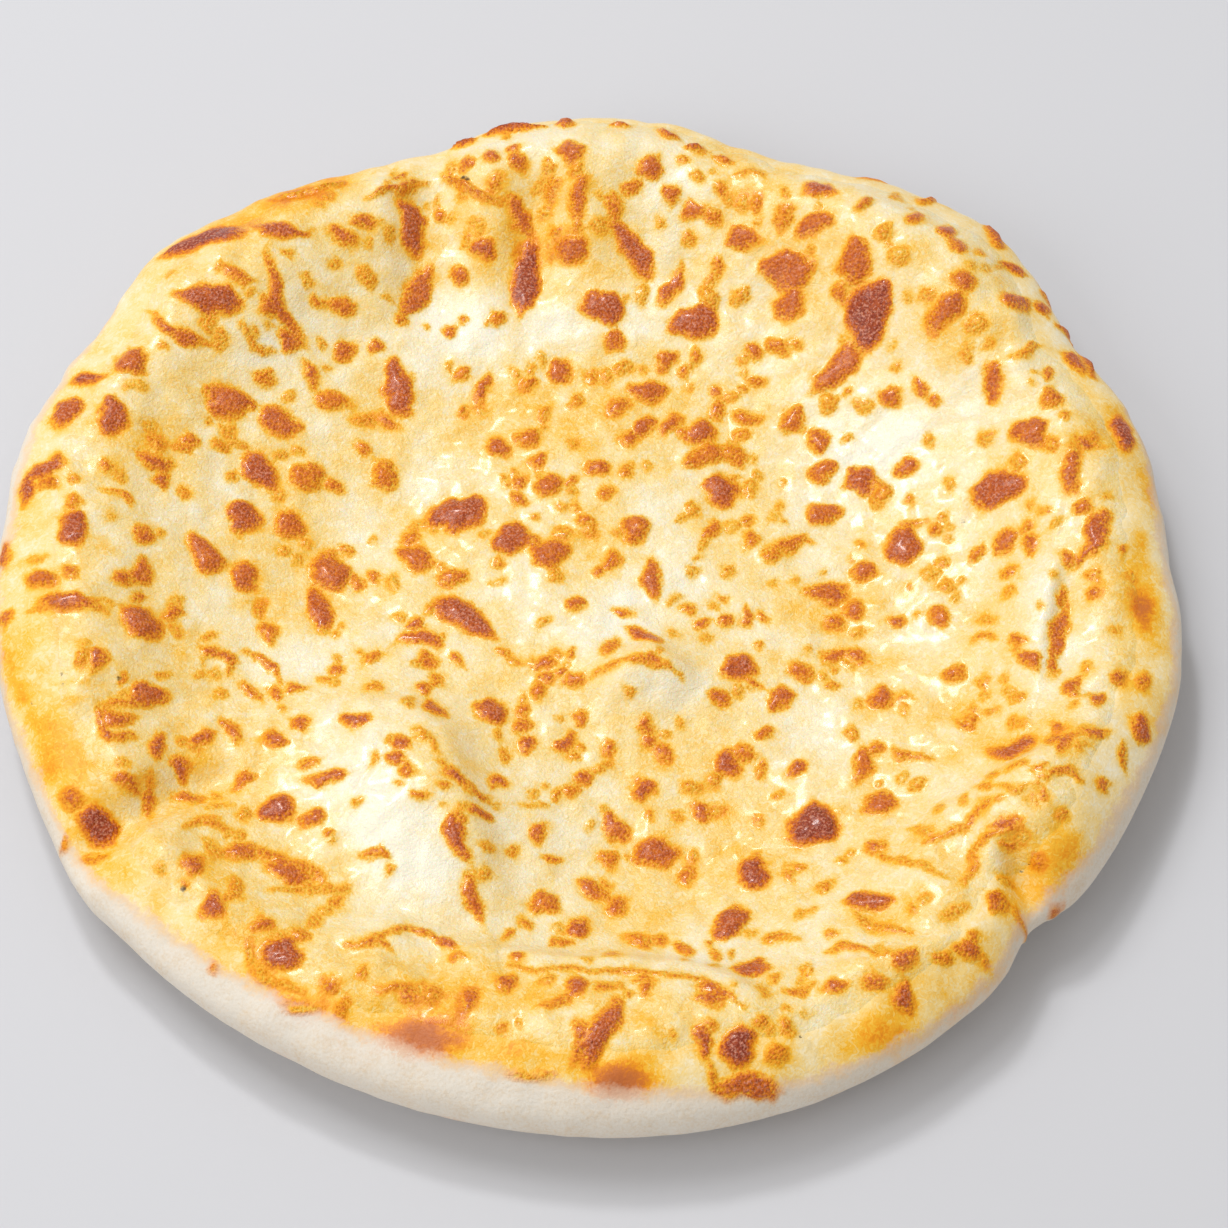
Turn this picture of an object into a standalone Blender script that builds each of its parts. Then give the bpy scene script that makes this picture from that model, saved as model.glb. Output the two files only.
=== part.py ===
"""Khachapuri: a round cheese bread, its top covered to the rim with melted, browned cheese.

The bread is one solid, and the cheese that lies on it is another. Both are lofts: rings of points
run from the middle out to the rim and back under the bread, and every height comes from form().
Lengths are in metres, bearings in degrees from +X towards +Y, seen from above.
"""

import math

import bpy
import numpy as np

MM = 0.001

# Driving sizes of the bread
RADIUS = 147 * MM
RIM_LIFT = 8 * MM  # the rim curls up off the table
LIFT_STARTS, LIFT_ENDS = 95 * MM, 138 * MM  # distances from the middle
MIDDLE_HEIGHT = 10 * MM  # of the dough's top, above its underside
RIM_SWELL = 8 * MM  # what the rim is thicker than the middle
SWELL_STARTS, SWELL_ENDS = 60 * MM, 125 * MM
WIDEST_SHARE = 0.42  # where the rim is widest, as a share of its own height
ROLL_TOP, ROLL_UNDER = 22 * MM, 12 * MM  # widths over which the rim rounds off
ROLL_POWER = 2.4

# Driving sizes of the cheese
CHEESE_STEP = 1.2 * MM  # how far its edge stands above the dough
CHEESE_DEPTH = 2.5 * MM  # what it sinks into the dough away from its edge
SOLID_GAP = 0.3 * MM
DOME_SHARE, DOME_LEAST, DOME_MOST = 0.17, 0.8 * MM, 2.0 * MM  # a blister's height, by its width

# How finely the rings are divided. Rings on the underside: points, share of the outline
COARSE_RINGS, CHEESE_RINGS = 12, 36
EDGE_POINTS = 6 * CHEESE_RINGS
COLLAR_POINTS, COLLAR_RINGS = 180, 6
UNDER_RINGS = ((144, 0.97), (120, 0.85), (90, 0.72), (3, 0.6), (1, 0))  # it stands on the ring of three
SETTLE_REACH = 7 * MM  # the coarse dough under the cheese keeps below all that is this near

# Swings of the outline: bearing, spread in degrees, and how far out in mm
OUTLINE = (
    (48, 13, 6.5), (20, 9, 2.5), (33, 4, -2.0), (70, 8, -4.0), (88, 9, 0.8), (111, 10, -5.0),
    (139, 7, 5.0), (162, 8, 2.5), (200, 12, -1.5), (216, 5, 1.5), (248, 40, -5.0), (320, 20, -3.0),
    (321, 4, -4.0), (353, 9, 2.0),
)
# The cheese's edge as a share of the outline, and its swings
CHEESE_REACH = 0.93
CHEESE_EDGE = ((90, 55, 0.04), (180, 25, -0.02), (207, 8, -0.03), (260, 25, -0.045), (330, 30, -0.015))

# Swells and hollows: x, y, half length, half width, heading, height, in mm
SWELLS = (
    (-45, -54, 34, 25, 126, 8.5),
    (12, -17, 16, 11, 5, 3.5),
    (4, -122, 36, 15, 0, 3.5),
    (118, -55, 24, 13, 65, 4.5),
    (-120, -21, 30, 16, 95, 3.0),
    (-92, 86, 30, 17, 47, 4.5),
    (-4, 122, 26, 11, 92, 3.0),
    (80, 98, 38, 18, 140, 6.5),
    (124, 33, 26, 15, 105, 2.5),
    (-50, 29, 40, 17, 50, -2.0),
    (48, 40, 40, 26, 140, -1.5),
    (20, -75, 34, 16, 10, -2.0),
)

# Folds: a crest that falls gently to its left and steeply to its right, with points in mm.
# Name: (points, height, gentle width, steep width), in mm. A negative height is a crease.
FOLDS = {
    "front_crest": (((49, -118), (41, -111), (30, -104), (16, -102), (-3, -102), (-20, -100), (-34, -98)),
                    5.0, 16, 3.5),
    "bubble_crest": (((-20, -90), (-23, -74), (-29, -55), (-34, -40), (-44, -33), (-53, -33), (-61, -36)),
                     4.0, 18, 5.0),
    "right_crest": (((118, -44), (102, -51), (88, -61), (79, -73), (71, -77)), 3.5, 10, 3.5),
    "flap_crest": (((115, -45), (106, -51), (100, -60), (98, -69), (98, -79)), 3.0, 10, 3.0),
    "right_step": (((110, -28), (113, -8), (117, 14)), 3.0, 13, 3.0),
    "middle_peak": (((29, -23), (17, -13), (6, -24)), 3.5, 9, 3.5),
    "left_arc": (((-30, -96), (-45, -93), (-57, -99)), 2.5, 8, 3.0),
    "lower_left_arc": (((-30, -113), (-45, -106), (-59, -112)), 2.5, 8, 3.0),
    "front_right_ridge": (((104, -89), (92, -94), (79, -100), (66, -103), (53, -105)), 2.5, 8, 3.0),
    "left_crease": (((-123, -86), (-108, -68), (-95, -58), (-80, -52)), -6.0, 6, 6.0),
    "flap_notch": (((102, -68), (107, -80), (112, -92)), -6.5, 4, 4.0),
    "back_left_valley": (((-42, 142), (-44, 121), (-45, 102), (-43, 78)), -5.0, 10, 8.0),
    "back_valley": (((-13, 131), (-17, 109), (-19, 86)), -3.5, 8, 7.0),
}

# The larger blisters: x, y, length, width, heading, in mm and degrees
BLISTERS = (
    (-101, 98, 22, 7, 15), (-81, 101, 13, 4, 175), (-98, 79, 16, 7, 170), (-80, 82, 21, 5, 115),
    (-105, 69, 16, 4, 160), (-117, 60, 9, 8, 90), (-120, 44, 9, 8, 90), (-127, 11, 9, 6, 95),
    (-127, -11, 15, 4, 10), (-109, -13, 12, 9, 120), (-105, -34, 10, 6, 25), (-114, -70, 10, 9, 90),
    (-87, 23, 10, 7, 120), (-83, 36, 13, 7, 120), (-71, 36, 9, 7, 0), (-92, 54, 11, 8, 170),
    (-79, 51, 12, 7, 155), (-49, 64, 18, 7, 100), (-48, 109, 14, 7, 100), (-46, 93, 16, 6, 75),
    (-18, 97, 19, 7, 85), (3, 89, 12, 8, 165), (26, 85, 13, 9, 20), (15, 66, 9, 7, 0),
    (10, 105, 17, 6, 125), (50, 98, 14, 9, 0), (51, 89, 8, 8, 0), (67, 97, 11, 8, 90),
    (71, 84, 16, 11, 80), (63, 71, 17, 6, 40), (90, 81, 11, 6, 45), (111, 47, 9, 8, 0),
    (135, 49, 11, 6, 95), (103, 33, 12, 10, 170), (121, 34, 11, 5, 90), (127, 17, 14, 5, 75),
    (69, 40, 8, 8, 0), (60, 31, 8, 7, 0), (80, 20, 11, 8, 90), (34, 37, 10, 8, 115),
    (-33, 28, 16, 10, 30), (-19, 20, 10, 9, 90), (-9, 16, 9, 8, 0), (17, 10, 12, 5, 90),
    (-30, -3, 17, 8, 150), (-64, 10, 11, 9, 95), (-66, -2, 13, 6, 95), (-95, 10, 11, 8, 120),
    (39, -16, 9, 7, 160), (61, 7, 10, 6, 0), (57, -60, 14, 11, 15), (43, -74, 9, 8, 90),
    (70, -84, 10, 6, 0), (37, -88, 11, 8, 55), (42, -102, 10, 5, 0), (19, -67, 11, 7, 0),
    (105, -43, 10, 5, 20), (117, -10, 20, 4, 75), (-22, -31, 8, 7, 90), (-29, -70, 11, 5, 105),
    (-24, -85, 12, 4, 100), (-69, -79, 12, 5, 155), (-68, -104, 9, 8, 25), (7, -123, 18, 6, 65),
    (39, -126, 10, 8, 80), (42, -134, 14, 5, 0),
)


def smoothstep(low, high, value):
    """0 below low, 1 above high, and a smooth rise between them."""
    share = np.clip((value - low) / (high - low), 0, 1)
    return share * share * (3 - 2 * share)


def along_and_across(x, y, spot_x, spot_y, heading):
    """Coordinates of points seen from a spot given in mm, turned to a heading."""
    dx, dy = x - spot_x * MM, y - spot_y * MM
    c, s = math.cos(math.radians(heading)), math.sin(math.radians(heading))
    return dx * c + dy * s, dy * c - dx * s


def swings(bearing, table, unit):
    """The sum of bell-shaped swings at a bearing."""
    total = np.zeros_like(bearing)
    for middle, spread, amount in table:
        away = (bearing - middle + 180) % 360 - 180
        total += amount * unit * np.exp(-(away / spread) ** 2)
    return total


def outline(bearing):
    """How far out the rim reaches at a bearing."""
    return RADIUS + swings(bearing, OUTLINE, MM)


def cheese_edge(bearing):
    """How far out the melted cheese reaches at a bearing."""
    return outline(bearing) * (CHEESE_REACH + swings(bearing, CHEESE_EDGE, 1))


def fold_height(x, y, points, height, gentle, steep):
    """The height that a crest, or a crease, adds along its line of points."""
    line = np.array(points, float) * MM
    starts, steps = line[:-1], np.diff(line, axis=0)
    lengths = np.hypot(*steps.T)
    nearest, side, place = np.full(x.shape, np.inf), np.zeros(x.shape), np.zeros(x.shape)
    passed = 0.0
    for start, step, length in zip(starts, steps, lengths):
        dx, dy = x - start[0], y - start[1]
        share = np.clip((dx * step[0] + dy * step[1]) / length**2, 0, 1)
        away = np.hypot(dx - share * step[0], dy - share * step[1])
        closer = away < nearest
        nearest = np.where(closer, away, nearest)
        side = np.where(closer, dy * step[0] - dx * step[1], side)
        place = np.where(closer, (passed + share * length) / lengths.sum(), place)
        passed += length
    width = np.where(side > 0, gentle, steep) * MM
    fade = np.sin(np.pi * np.clip(place, 0.02, 0.98)) ** 0.6
    return height * MM * fade * np.exp(-(nearest / width) ** 2)


def lift(distance):
    """Height of the bread's underside above the table."""
    return RIM_LIFT * smoothstep(LIFT_STARTS, LIFT_ENDS, distance)


def form(x, y):
    """Height of the dough's top, with its swells, folds and creases, rounded off at the rim."""
    distance, bearing = np.hypot(x, y), np.degrees(np.arctan2(y, x))
    top = lift(distance) + MIDDLE_HEIGHT + RIM_SWELL * smoothstep(SWELL_STARTS, SWELL_ENDS, distance)
    for spot_x, spot_y, half_length, half_width, heading, height in SWELLS:
        along, across = along_and_across(x, y, spot_x, spot_y, heading)
        top = top + height * MM * np.exp(-(along / (half_length * MM)) ** 2 - (across / (half_width * MM)) ** 2)
    for fold in FOLDS.values():
        top = top + fold_height(x, y, *fold)
    edge = outline(bearing)
    roll = np.clip((distance - edge + ROLL_TOP) / ROLL_TOP, 0, 1)
    widest = widest_height(edge)
    return widest + (top - widest) * (1 - roll**ROLL_POWER) ** (1 / ROLL_POWER)


def widest_height(edge):
    """Height at which the rim reaches furthest out."""
    return lift(edge) + WIDEST_SHARE * (MIDDLE_HEIGHT + RIM_SWELL)


def underside(x, y):
    """Height of the bread's underside, rounded up to the rim."""
    distance, bearing = np.hypot(x, y), np.degrees(np.arctan2(y, x))
    edge = outline(bearing)
    roll = np.clip((distance - edge + ROLL_UNDER) / ROLL_UNDER, 0, 1)
    widest = widest_height(edge)
    return widest - (widest - lift(distance)) * (1 - roll**ROLL_POWER) ** (1 / ROLL_POWER)


def blister_height(x, y):
    """The domes of the browned blisters."""
    total = np.zeros_like(x)
    for spot_x, spot_y, length, width, heading in BLISTERS:
        along, across = along_and_across(x, y, spot_x, spot_y, heading)
        inside = 1 - (along / (length / 2 * MM)) ** 2 - (across / (width / 2 * MM)) ** 2
        dome = min(max(DOME_SHARE * width * MM, DOME_LEAST), DOME_MOST)
        total = np.maximum(total, dome * np.clip(inside, 0, 1) ** 0.6)
    return total


def settled_form(x, y):
    """The dough under the cheese: below the lowest of the form round each point."""
    lowest = form(x, y)
    for bearing in range(0, 360, 45):
        dx, dy = SETTLE_REACH * math.cos(math.radians(bearing)), SETTLE_REACH * math.sin(math.radians(bearing))
        lowest = np.minimum(lowest, form(x + dx, y + dy))
    return lowest - CHEESE_DEPTH


def middle(bearing):
    """The bread's middle, as a distance that follows the bearing."""
    return np.zeros_like(bearing)


def ring(count, share, start, end):
    """The x, y places of one ring, a share of the way from one distance to another."""
    bearing = np.arange(count) * 360 / count
    distance = (1 - share) * start(bearing) + share * end(bearing)
    return distance * np.cos(np.radians(bearing)), distance * np.sin(np.radians(bearing))


def raised(places, height):
    """A ring's points, with height giving z at each place."""
    x, y = places
    return np.column_stack([x, y, height(x, y)])


def covered_rings():
    """The places under the cheese, from the middle to its edge. Bread and cheese share them."""
    rings = [ring(1, 0, middle, cheese_edge)]
    for number in range(1, COARSE_RINGS):
        rings.append(ring(6 * number, number / COARSE_RINGS, middle, cheese_edge))
    return rings + [ring(EDGE_POINTS, 1, middle, cheese_edge)]


def bread_rings():
    """The bread, from the middle of its top over the rim to the middle of its underside."""
    covered = covered_rings()
    rings = [raised(places, settled_form) for places in covered[:-1]] + [raised(covered[-1], form)]
    for number in range(1, COLLAR_RINGS + 1):
        share = math.sin(math.pi / 2 * number / COLLAR_RINGS)
        rings.append(raised(ring(COLLAR_POINTS, share, cheese_edge, outline), form))
    for count, share in UNDER_RINGS:
        rings.append(raised(ring(count, share, middle, outline), underside))
    return rings


def cheese_rings():
    """The cheese, from the middle of its top over its edge and back along the dough."""
    rings = [raised(ring(1, 0, middle, cheese_edge), cheese_top)]
    for number in range(1, CHEESE_RINGS + 1):
        rings.append(raised(ring(6 * number, number / CHEESE_RINGS, middle, cheese_edge), cheese_top))
    covered = covered_rings()
    rings.append(raised(covered[-1], form) + [0, 0, SOLID_GAP])
    for places in reversed(covered[:-1]):
        rings.append(raised(places, settled_form) + [0, 0, SOLID_GAP])
    return rings


def cheese_top(x, y):
    """Height of the cheese's top, with its blisters."""
    return form(x, y) + CHEESE_STEP + blister_height(x, y)


def box_middle():
    """The middle of the outline's box, which becomes the origin."""
    x, y = ring(COLLAR_POINTS, 1, middle, outline)
    return np.array([x.min() + x.max(), y.min() + y.max(), 0]) / 2


def stitch(ring_a, ring_b):
    """Triangles between two closed rings of corners, whose counts may differ. One corner makes a fan."""
    turns_a = len(ring_a) if len(ring_a) > 1 else 0
    turns_b = len(ring_b) if len(ring_b) > 1 else 0
    faces, a, b = [], 0, 0
    while a < turns_a or b < turns_b:
        corner_a, corner_b = ring_a[a % len(ring_a)], ring_b[b % len(ring_b)]
        if b == turns_b or (a < turns_a and (a + 0.5) / turns_a <= (b + 0.5) / turns_b):
            a += 1
            faces.append((corner_a, corner_b, ring_a[a % len(ring_a)]))
        else:
            b += 1
            faces.append((corner_a, corner_b, ring_b[b % len(ring_b)]))
    return faces


def loft(name, rings, material):
    """A closed solid through rings of points that begin and end at a single point."""
    points = np.concatenate(rings) - box_middle()
    corners, first = [], 0
    for ring_points in rings:
        corners.append(list(range(first, first + len(ring_points))))
        first += len(ring_points)
    faces = []
    for ring_a, ring_b in zip(corners, corners[1:]):
        faces += stitch(ring_a, ring_b)
    mesh = bpy.data.meshes.new(name)
    mesh.from_pydata(points.tolist(), [], faces)
    mesh.shade_smooth()
    mesh.materials.append(material)
    return bpy.data.objects.new(name, mesh)


def finish_of(name, colour, roughness):
    """A plain material of one colour."""
    material = bpy.data.materials.new(name)
    material.use_nodes = True
    surface = material.node_tree.nodes["Principled BSDF"]
    surface.inputs["Base Color"].default_value = (*colour, 1)
    surface.inputs["Roughness"].default_value = roughness
    surface.inputs["Metallic"].default_value = 0
    return material


def main():
    for leftover in list(bpy.data.objects):
        bpy.data.objects.remove(leftover)
    khachapuri = bpy.data.collections.new("khachapuri")
    bpy.context.scene.collection.children.link(khachapuri)
    baked_dough = finish_of("baked_dough", (0.80, 0.62, 0.40), 0.75)
    browned_cheese = finish_of("browned_cheese", (0.86, 0.62, 0.26), 0.35)
    khachapuri.objects.link(loft("bread", bread_rings(), baked_dough))
    khachapuri.objects.link(loft("cheese", cheese_rings(), browned_cheese))


main()
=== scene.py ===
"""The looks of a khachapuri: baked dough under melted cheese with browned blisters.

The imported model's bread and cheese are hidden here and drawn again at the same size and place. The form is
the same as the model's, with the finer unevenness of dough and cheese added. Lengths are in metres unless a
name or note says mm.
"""

import logging
import math
from dataclasses import dataclass
from enum import Enum
from typing import Callable, ClassVar, Iterable, Sequence, Union

import bpy
import numpy as np
from mathutils import Matrix, Vector


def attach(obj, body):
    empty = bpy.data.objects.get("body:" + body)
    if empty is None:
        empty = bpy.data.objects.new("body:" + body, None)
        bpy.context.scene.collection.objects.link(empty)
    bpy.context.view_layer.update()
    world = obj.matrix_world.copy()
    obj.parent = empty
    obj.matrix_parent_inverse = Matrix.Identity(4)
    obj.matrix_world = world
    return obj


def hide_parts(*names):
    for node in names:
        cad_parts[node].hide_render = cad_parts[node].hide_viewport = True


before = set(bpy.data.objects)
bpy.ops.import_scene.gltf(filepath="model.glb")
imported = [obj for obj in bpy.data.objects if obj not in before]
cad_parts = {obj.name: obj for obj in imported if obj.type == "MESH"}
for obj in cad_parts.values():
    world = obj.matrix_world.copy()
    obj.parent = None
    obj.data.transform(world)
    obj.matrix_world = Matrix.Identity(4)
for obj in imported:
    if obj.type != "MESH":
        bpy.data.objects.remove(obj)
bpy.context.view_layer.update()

MM = 0.001
FULL_TURN = 360
LOG = logging.getLogger("khachapuri")

Array = np.ndarray
Colour = tuple[float, float, float, float]


def smoothstep(low: float, high: float, value: Array) -> Array:
    """A smooth rise from 0 at low to 1 at high.

    Args:
        low: Where the rise begins.
        high: Where it ends.
        value: The numbers to look up.

    Returns:
        The share risen at each number.
    """
    share = np.clip((value - low) / (high - low), 0, 1)
    return share * share * (3 - 2 * share)


def srgb(red: int, green: int, blue: int) -> Colour:
    """A colour as a shader takes it.

    Args:
        red: 0 to 255, as a screen shows it.
        green: The same.
        blue: The same.

    Returns:
        The linear colour, opaque.
    """
    parts = (part / 255 for part in (red, green, blue))
    linear = [part / 12.92 if part <= 0.04045 else ((part + 0.055) / 1.055) ** 2.4 for part in parts]
    return linear[0], linear[1], linear[2], 1.0


def polar(x: Array, y: Array) -> tuple[Array, Array]:
    """The distance from the middle and the bearing in degrees of places in plan."""
    return np.hypot(x, y), np.degrees(np.arctan2(y, x))


def from_polar(distance: Union[float, Array], bearing: Array) -> tuple[Array, Array]:
    """The x and y of places at distances from the middle and bearings in degrees."""
    return distance * np.cos(np.radians(bearing)), distance * np.sin(np.radians(bearing))


def turned(dx: Array, dy: Array, heading: float) -> tuple[Array, Array]:
    """How far places lie along a heading in degrees, and how far to its left."""
    c, s = math.cos(math.radians(heading)), math.sin(math.radians(heading))
    return dx * c + dy * s, dy * c - dx * s


def nearest_on(dx: Array, dy: Array, step: Array) -> tuple[Array, Array]:
    """The nearest point of a straight step to each place.

    Args:
        dx: How far right of the step's start the places lie.
        dy: How far beyond it they lie.
        step: The step's own x and y.

    Returns:
        The point's share of the step, and how far from it the place is.
    """
    share = np.clip((dx * step[0] + dy * step[1]) / (step @ step), 0, 1)
    return share, np.hypot(dx - share * step[0], dy - share * step[1])


@dataclass(frozen=True)
class Grain:
    """Smooth random unevenness whose bumps all have about one size."""

    seed: int
    size: float
    lattice_side: int = 48

    def at(self, points: Array) -> Array:
        """The unevenness at points.

        Args:
            points: One row of x, y, z for each point.

        Returns:
            A number from -1 to 1 for each point.
        """
        side = self.lattice_side
        lattice = np.random.default_rng(self.seed).uniform(-1, 1, (side, side, side))
        scaled = points / self.size
        cell = np.floor(scaled).astype(int)
        part = scaled - cell
        part = part * part * (3 - 2 * part)
        total = np.zeros(len(points))
        for corner in np.ndindex(2, 2, 2):
            weight = np.prod(np.where(np.array(corner) == 1, part, 1 - part), axis=1)
            i, j, k = ((cell + corner) % side).T
            total += weight * lattice[i, j, k]
        return total

    def flat(self, x: Array, y: Array) -> Array:
        """The unevenness at places in plan.

        Args:
            x: Distances to the right.
            y: Distances away from the viewer.

        Returns:
            A number from -1 to 1 for each place.
        """
        return self.at(np.column_stack([x, y, np.zeros_like(x)]))


Layers = tuple[tuple[float, int, float], ...]


def grains(x: Array, y: Array, layers: Layers) -> Array:
    """What layers of grain add together, each given by its amount, its seed and its size in mm."""
    total = np.zeros_like(x)
    for amount, seed, size in layers:
        total += amount * Grain(seed, size * MM).flat(x, y)
    return total


@dataclass(frozen=True)
class Swing:
    """A bell-shaped swing of a line that runs round the bread."""

    bearing: float
    spread: float
    amount: float

    def at(self, bearing: Array) -> Array:
        """How much it adds at each bearing."""
        away = (bearing - self.bearing + FULL_TURN / 2) % FULL_TURN - FULL_TURN / 2
        return self.amount * np.exp(-((away / self.spread) ** 2))


def swings(bearing: Array, group: Iterable[Swing]) -> Array:
    """What several swings add together at each bearing."""
    return sum((swing.at(bearing) for swing in group), np.zeros_like(bearing))


@dataclass(frozen=True)
class Spot:
    """A long or round spot in plan, in mm, turned to a heading in degrees."""

    x: float
    y: float
    half_length: float
    half_width: float
    heading: float
    amount: float

    def nearness(self, x: Array, y: Array) -> Array:
        """1 in the spot's middle, falling away like a bell.

        Args:
            x: Places in plan, in metres.
            y: The same.

        Returns:
            The nearness at each place.
        """
        along, across = turned(x / MM - self.x, y / MM - self.y, self.heading)
        return np.exp(-((along / self.half_length) ** 2) - (across / self.half_width) ** 2)


def spots(x: Array, y: Array, group: Iterable[Spot]) -> Array:
    """What several spots add together, each its own amount, at each place."""
    return sum((spot.amount * spot.nearness(x, y) for spot in group), np.zeros_like(x))


@dataclass(frozen=True)
class Fold:
    """A crest along a line of points in mm, gentle to its left and steep to its right, or a crease."""

    points: tuple[tuple[float, float], ...]
    height: float
    gentle: float
    steep: float
    fade_margin: ClassVar[float] = 0.02
    fade_power: ClassVar[float] = 0.6

    def at(self, x: Array, y: Array) -> Array:
        """The height it adds.

        Args:
            x: Places in plan, in metres.
            y: The same.

        Returns:
            Heights in mm.
        """
        line = np.array(self.points, float)
        steps = np.diff(line, axis=0)
        lengths = np.hypot(*steps.T)
        nearest, side, place = np.full(x.shape, np.inf), np.zeros(x.shape), np.zeros(x.shape)
        passed = 0.0
        for start, step, length in zip(line, steps, lengths):
            dx, dy = x / MM - start[0], y / MM - start[1]
            share, away = nearest_on(dx, dy, step)
            closer = away < nearest
            nearest = np.where(closer, away, nearest)
            side = np.where(closer, dy * step[0] - dx * step[1], side)
            place = np.where(closer, (passed + share * length) / lengths.sum(), place)
            passed += length
        width = np.where(side > 0, self.gentle, self.steep)
        place = np.clip(place, self.fade_margin, 1 - self.fade_margin)
        fade = np.sin(np.pi * place) ** self.fade_power
        return self.height * fade * np.exp(-((nearest / width) ** 2))


@dataclass(frozen=True)
class BreadForm:
    """The form that the dough and the cheese share, with its origin where the outline's swings turn."""

    radius: float = 147 * MM
    rim_lift: float = 8 * MM
    lift_starts: float = 95 * MM
    lift_ends: float = 138 * MM
    middle_height: float = 10 * MM
    rim_swell: float = 8 * MM
    swell_starts: float = 60 * MM
    swell_ends: float = 125 * MM
    widest_share: float = 0.42
    roll_top: float = 22 * MM
    roll_under: float = 12 * MM
    roll_power: float = 2.4
    upright_from: float = 8 * MM
    push: float = 0.85
    rim_grain: Layers = ((0.6, 51, 11), (0.45, 52, 4.5))
    front_share: float = 0.25
    front_ends: float = -40 * MM
    back_starts: float = 60 * MM
    lump_grain: Layers = ((0.7, 53, 12), (0.5, 54, 6))
    lumps_start: float = 80 * MM
    lumps_end: float = 130 * MM
    cheese_reach: float = 0.93
    outline_swings: tuple[Swing, ...] = (
        Swing(48, 13, 6.5), Swing(20, 9, 2.5), Swing(33, 4, -2.0), Swing(70, 8, -4.0), Swing(88, 9, 0.8),
        Swing(111, 10, -5.0), Swing(139, 7, 5.0), Swing(162, 8, 2.5), Swing(200, 12, -1.5),
        Swing(216, 5, 1.5), Swing(248, 40, -5.0), Swing(320, 20, -3.0), Swing(321, 4, -4.0),
        Swing(353, 9, 2.0),
    )
    cheese_swings: tuple[Swing, ...] = (
        Swing(90, 55, 0.04), Swing(180, 25, -0.02), Swing(207, 8, -0.03), Swing(260, 25, -0.045),
        Swing(330, 30, -0.015),
    )
    swells: tuple[Spot, ...] = (
        Spot(-45, -54, 34, 25, 126, 8.5), Spot(12, -17, 16, 11, 5, 3.5), Spot(4, -122, 36, 15, 0, 3.5),
        Spot(118, -55, 24, 13, 65, 4.5), Spot(-120, -21, 30, 16, 95, 3.0), Spot(-92, 86, 30, 17, 47, 4.5),
        Spot(-4, 122, 26, 11, 92, 3.0), Spot(80, 98, 38, 18, 140, 6.5), Spot(124, 33, 26, 15, 105, 2.5),
        Spot(-50, 29, 40, 17, 50, -2.0), Spot(48, 40, 40, 26, 140, -1.5), Spot(20, -75, 34, 16, 10, -2.0),
    )
    folds: tuple[Fold, ...] = (
        Fold(((49, -118), (41, -111), (30, -104), (16, -102), (-3, -102), (-20, -100), (-34, -98)),
             5.0, 16, 3.5),
        Fold(((-20, -90), (-23, -74), (-29, -55), (-34, -40), (-44, -33), (-53, -33), (-61, -36)),
             4.0, 18, 5.0),
        Fold(((118, -44), (102, -51), (88, -61), (79, -73), (71, -77)), 3.5, 10, 3.5),
        Fold(((115, -45), (106, -51), (100, -60), (98, -69), (98, -79)), 3.0, 10, 3.0),
        Fold(((110, -28), (113, -8), (117, 14)), 3.0, 13, 3.0),
        Fold(((29, -23), (17, -13), (6, -24)), 3.5, 9, 3.5),
        Fold(((-30, -96), (-45, -93), (-57, -99)), 2.5, 8, 3.0),
        Fold(((-30, -113), (-45, -106), (-59, -112)), 2.5, 8, 3.0),
        Fold(((104, -89), (92, -94), (79, -100), (66, -103), (53, -105)), 2.5, 8, 3.0),
        Fold(((-123, -86), (-108, -68), (-95, -58), (-80, -52)), -6.0, 6, 6.0),
        Fold(((102, -68), (107, -80), (112, -92)), -6.5, 4, 4.0),
        Fold(((-42, 142), (-44, 121), (-45, 102), (-43, 78)), -5.0, 10, 8.0),
        Fold(((-13, 131), (-17, 109), (-19, 86)), -3.5, 8, 7.0),
    )

    def plain_outline(self, bearing: Array) -> Array:
        """How far out the rim reaches at each bearing, without its fine unevenness."""
        return self.radius + swings(bearing, self.outline_swings) * MM

    def outline(self, bearing: Array) -> Array:
        """How far out the rim reaches at each bearing, least uneven at the front."""
        x, y = from_polar(self.radius, bearing)
        share = self.front_share + (1 - self.front_share) * smoothstep(self.front_ends, self.back_starts, y)
        return self.plain_outline(bearing) + grains(x, y, self.rim_grain) * share * MM

    def cheese_edge(self, bearing: Array) -> Array:
        """How far out the melted cheese reaches at each bearing."""
        return self.outline(bearing) * (self.cheese_reach + swings(bearing, self.cheese_swings))

    def lift(self, distance: Array) -> Array:
        """Height of the underside above the table, away from the rolled rim."""
        return self.rim_lift * smoothstep(self.lift_starts, self.lift_ends, distance)

    def widest_height(self, edge: Array) -> Array:
        """Height at which the rim reaches furthest out."""
        return self.lift(edge) + self.widest_share * (self.middle_height + self.rim_swell)

    def _rolled(self, flat: Array, distance: Array, edge: Array, width: float) -> Array:
        """Rounds a height off into the rim.

        Args:
            flat: Heights without the roll.
            distance: Distances from the middle.
            edge: The outline's distance at the same bearings.
            width: How far in from the outline the roll begins.

        Returns:
            The heights with the roll.
        """
        roll = np.clip((distance - edge + width) / width, 0, 1)
        widest = self.widest_height(edge)
        return widest + (flat - widest) * (1 - roll**self.roll_power) ** (1 / self.roll_power)

    def top(self, x: Array, y: Array) -> Array:
        """Height of the dough's top, with its swells, folds and creases.

        Args:
            x: Places in plan.
            y: The same.

        Returns:
            Heights above the table.
        """
        distance, bearing = polar(x, y)
        swell = self.rim_swell * smoothstep(self.swell_starts, self.swell_ends, distance)
        flat = self.lift(distance) + self.middle_height + swell + spots(x, y, self.swells) * MM
        for fold in self.folds:
            flat = flat + fold.at(x, y) * MM
        lumpy = smoothstep(self.lumps_start, self.lumps_end, distance)
        flat = flat + grains(x, y, self.lump_grain) * MM * lumpy
        return self._rolled(flat, distance, self.outline(bearing), self.roll_top)

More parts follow.
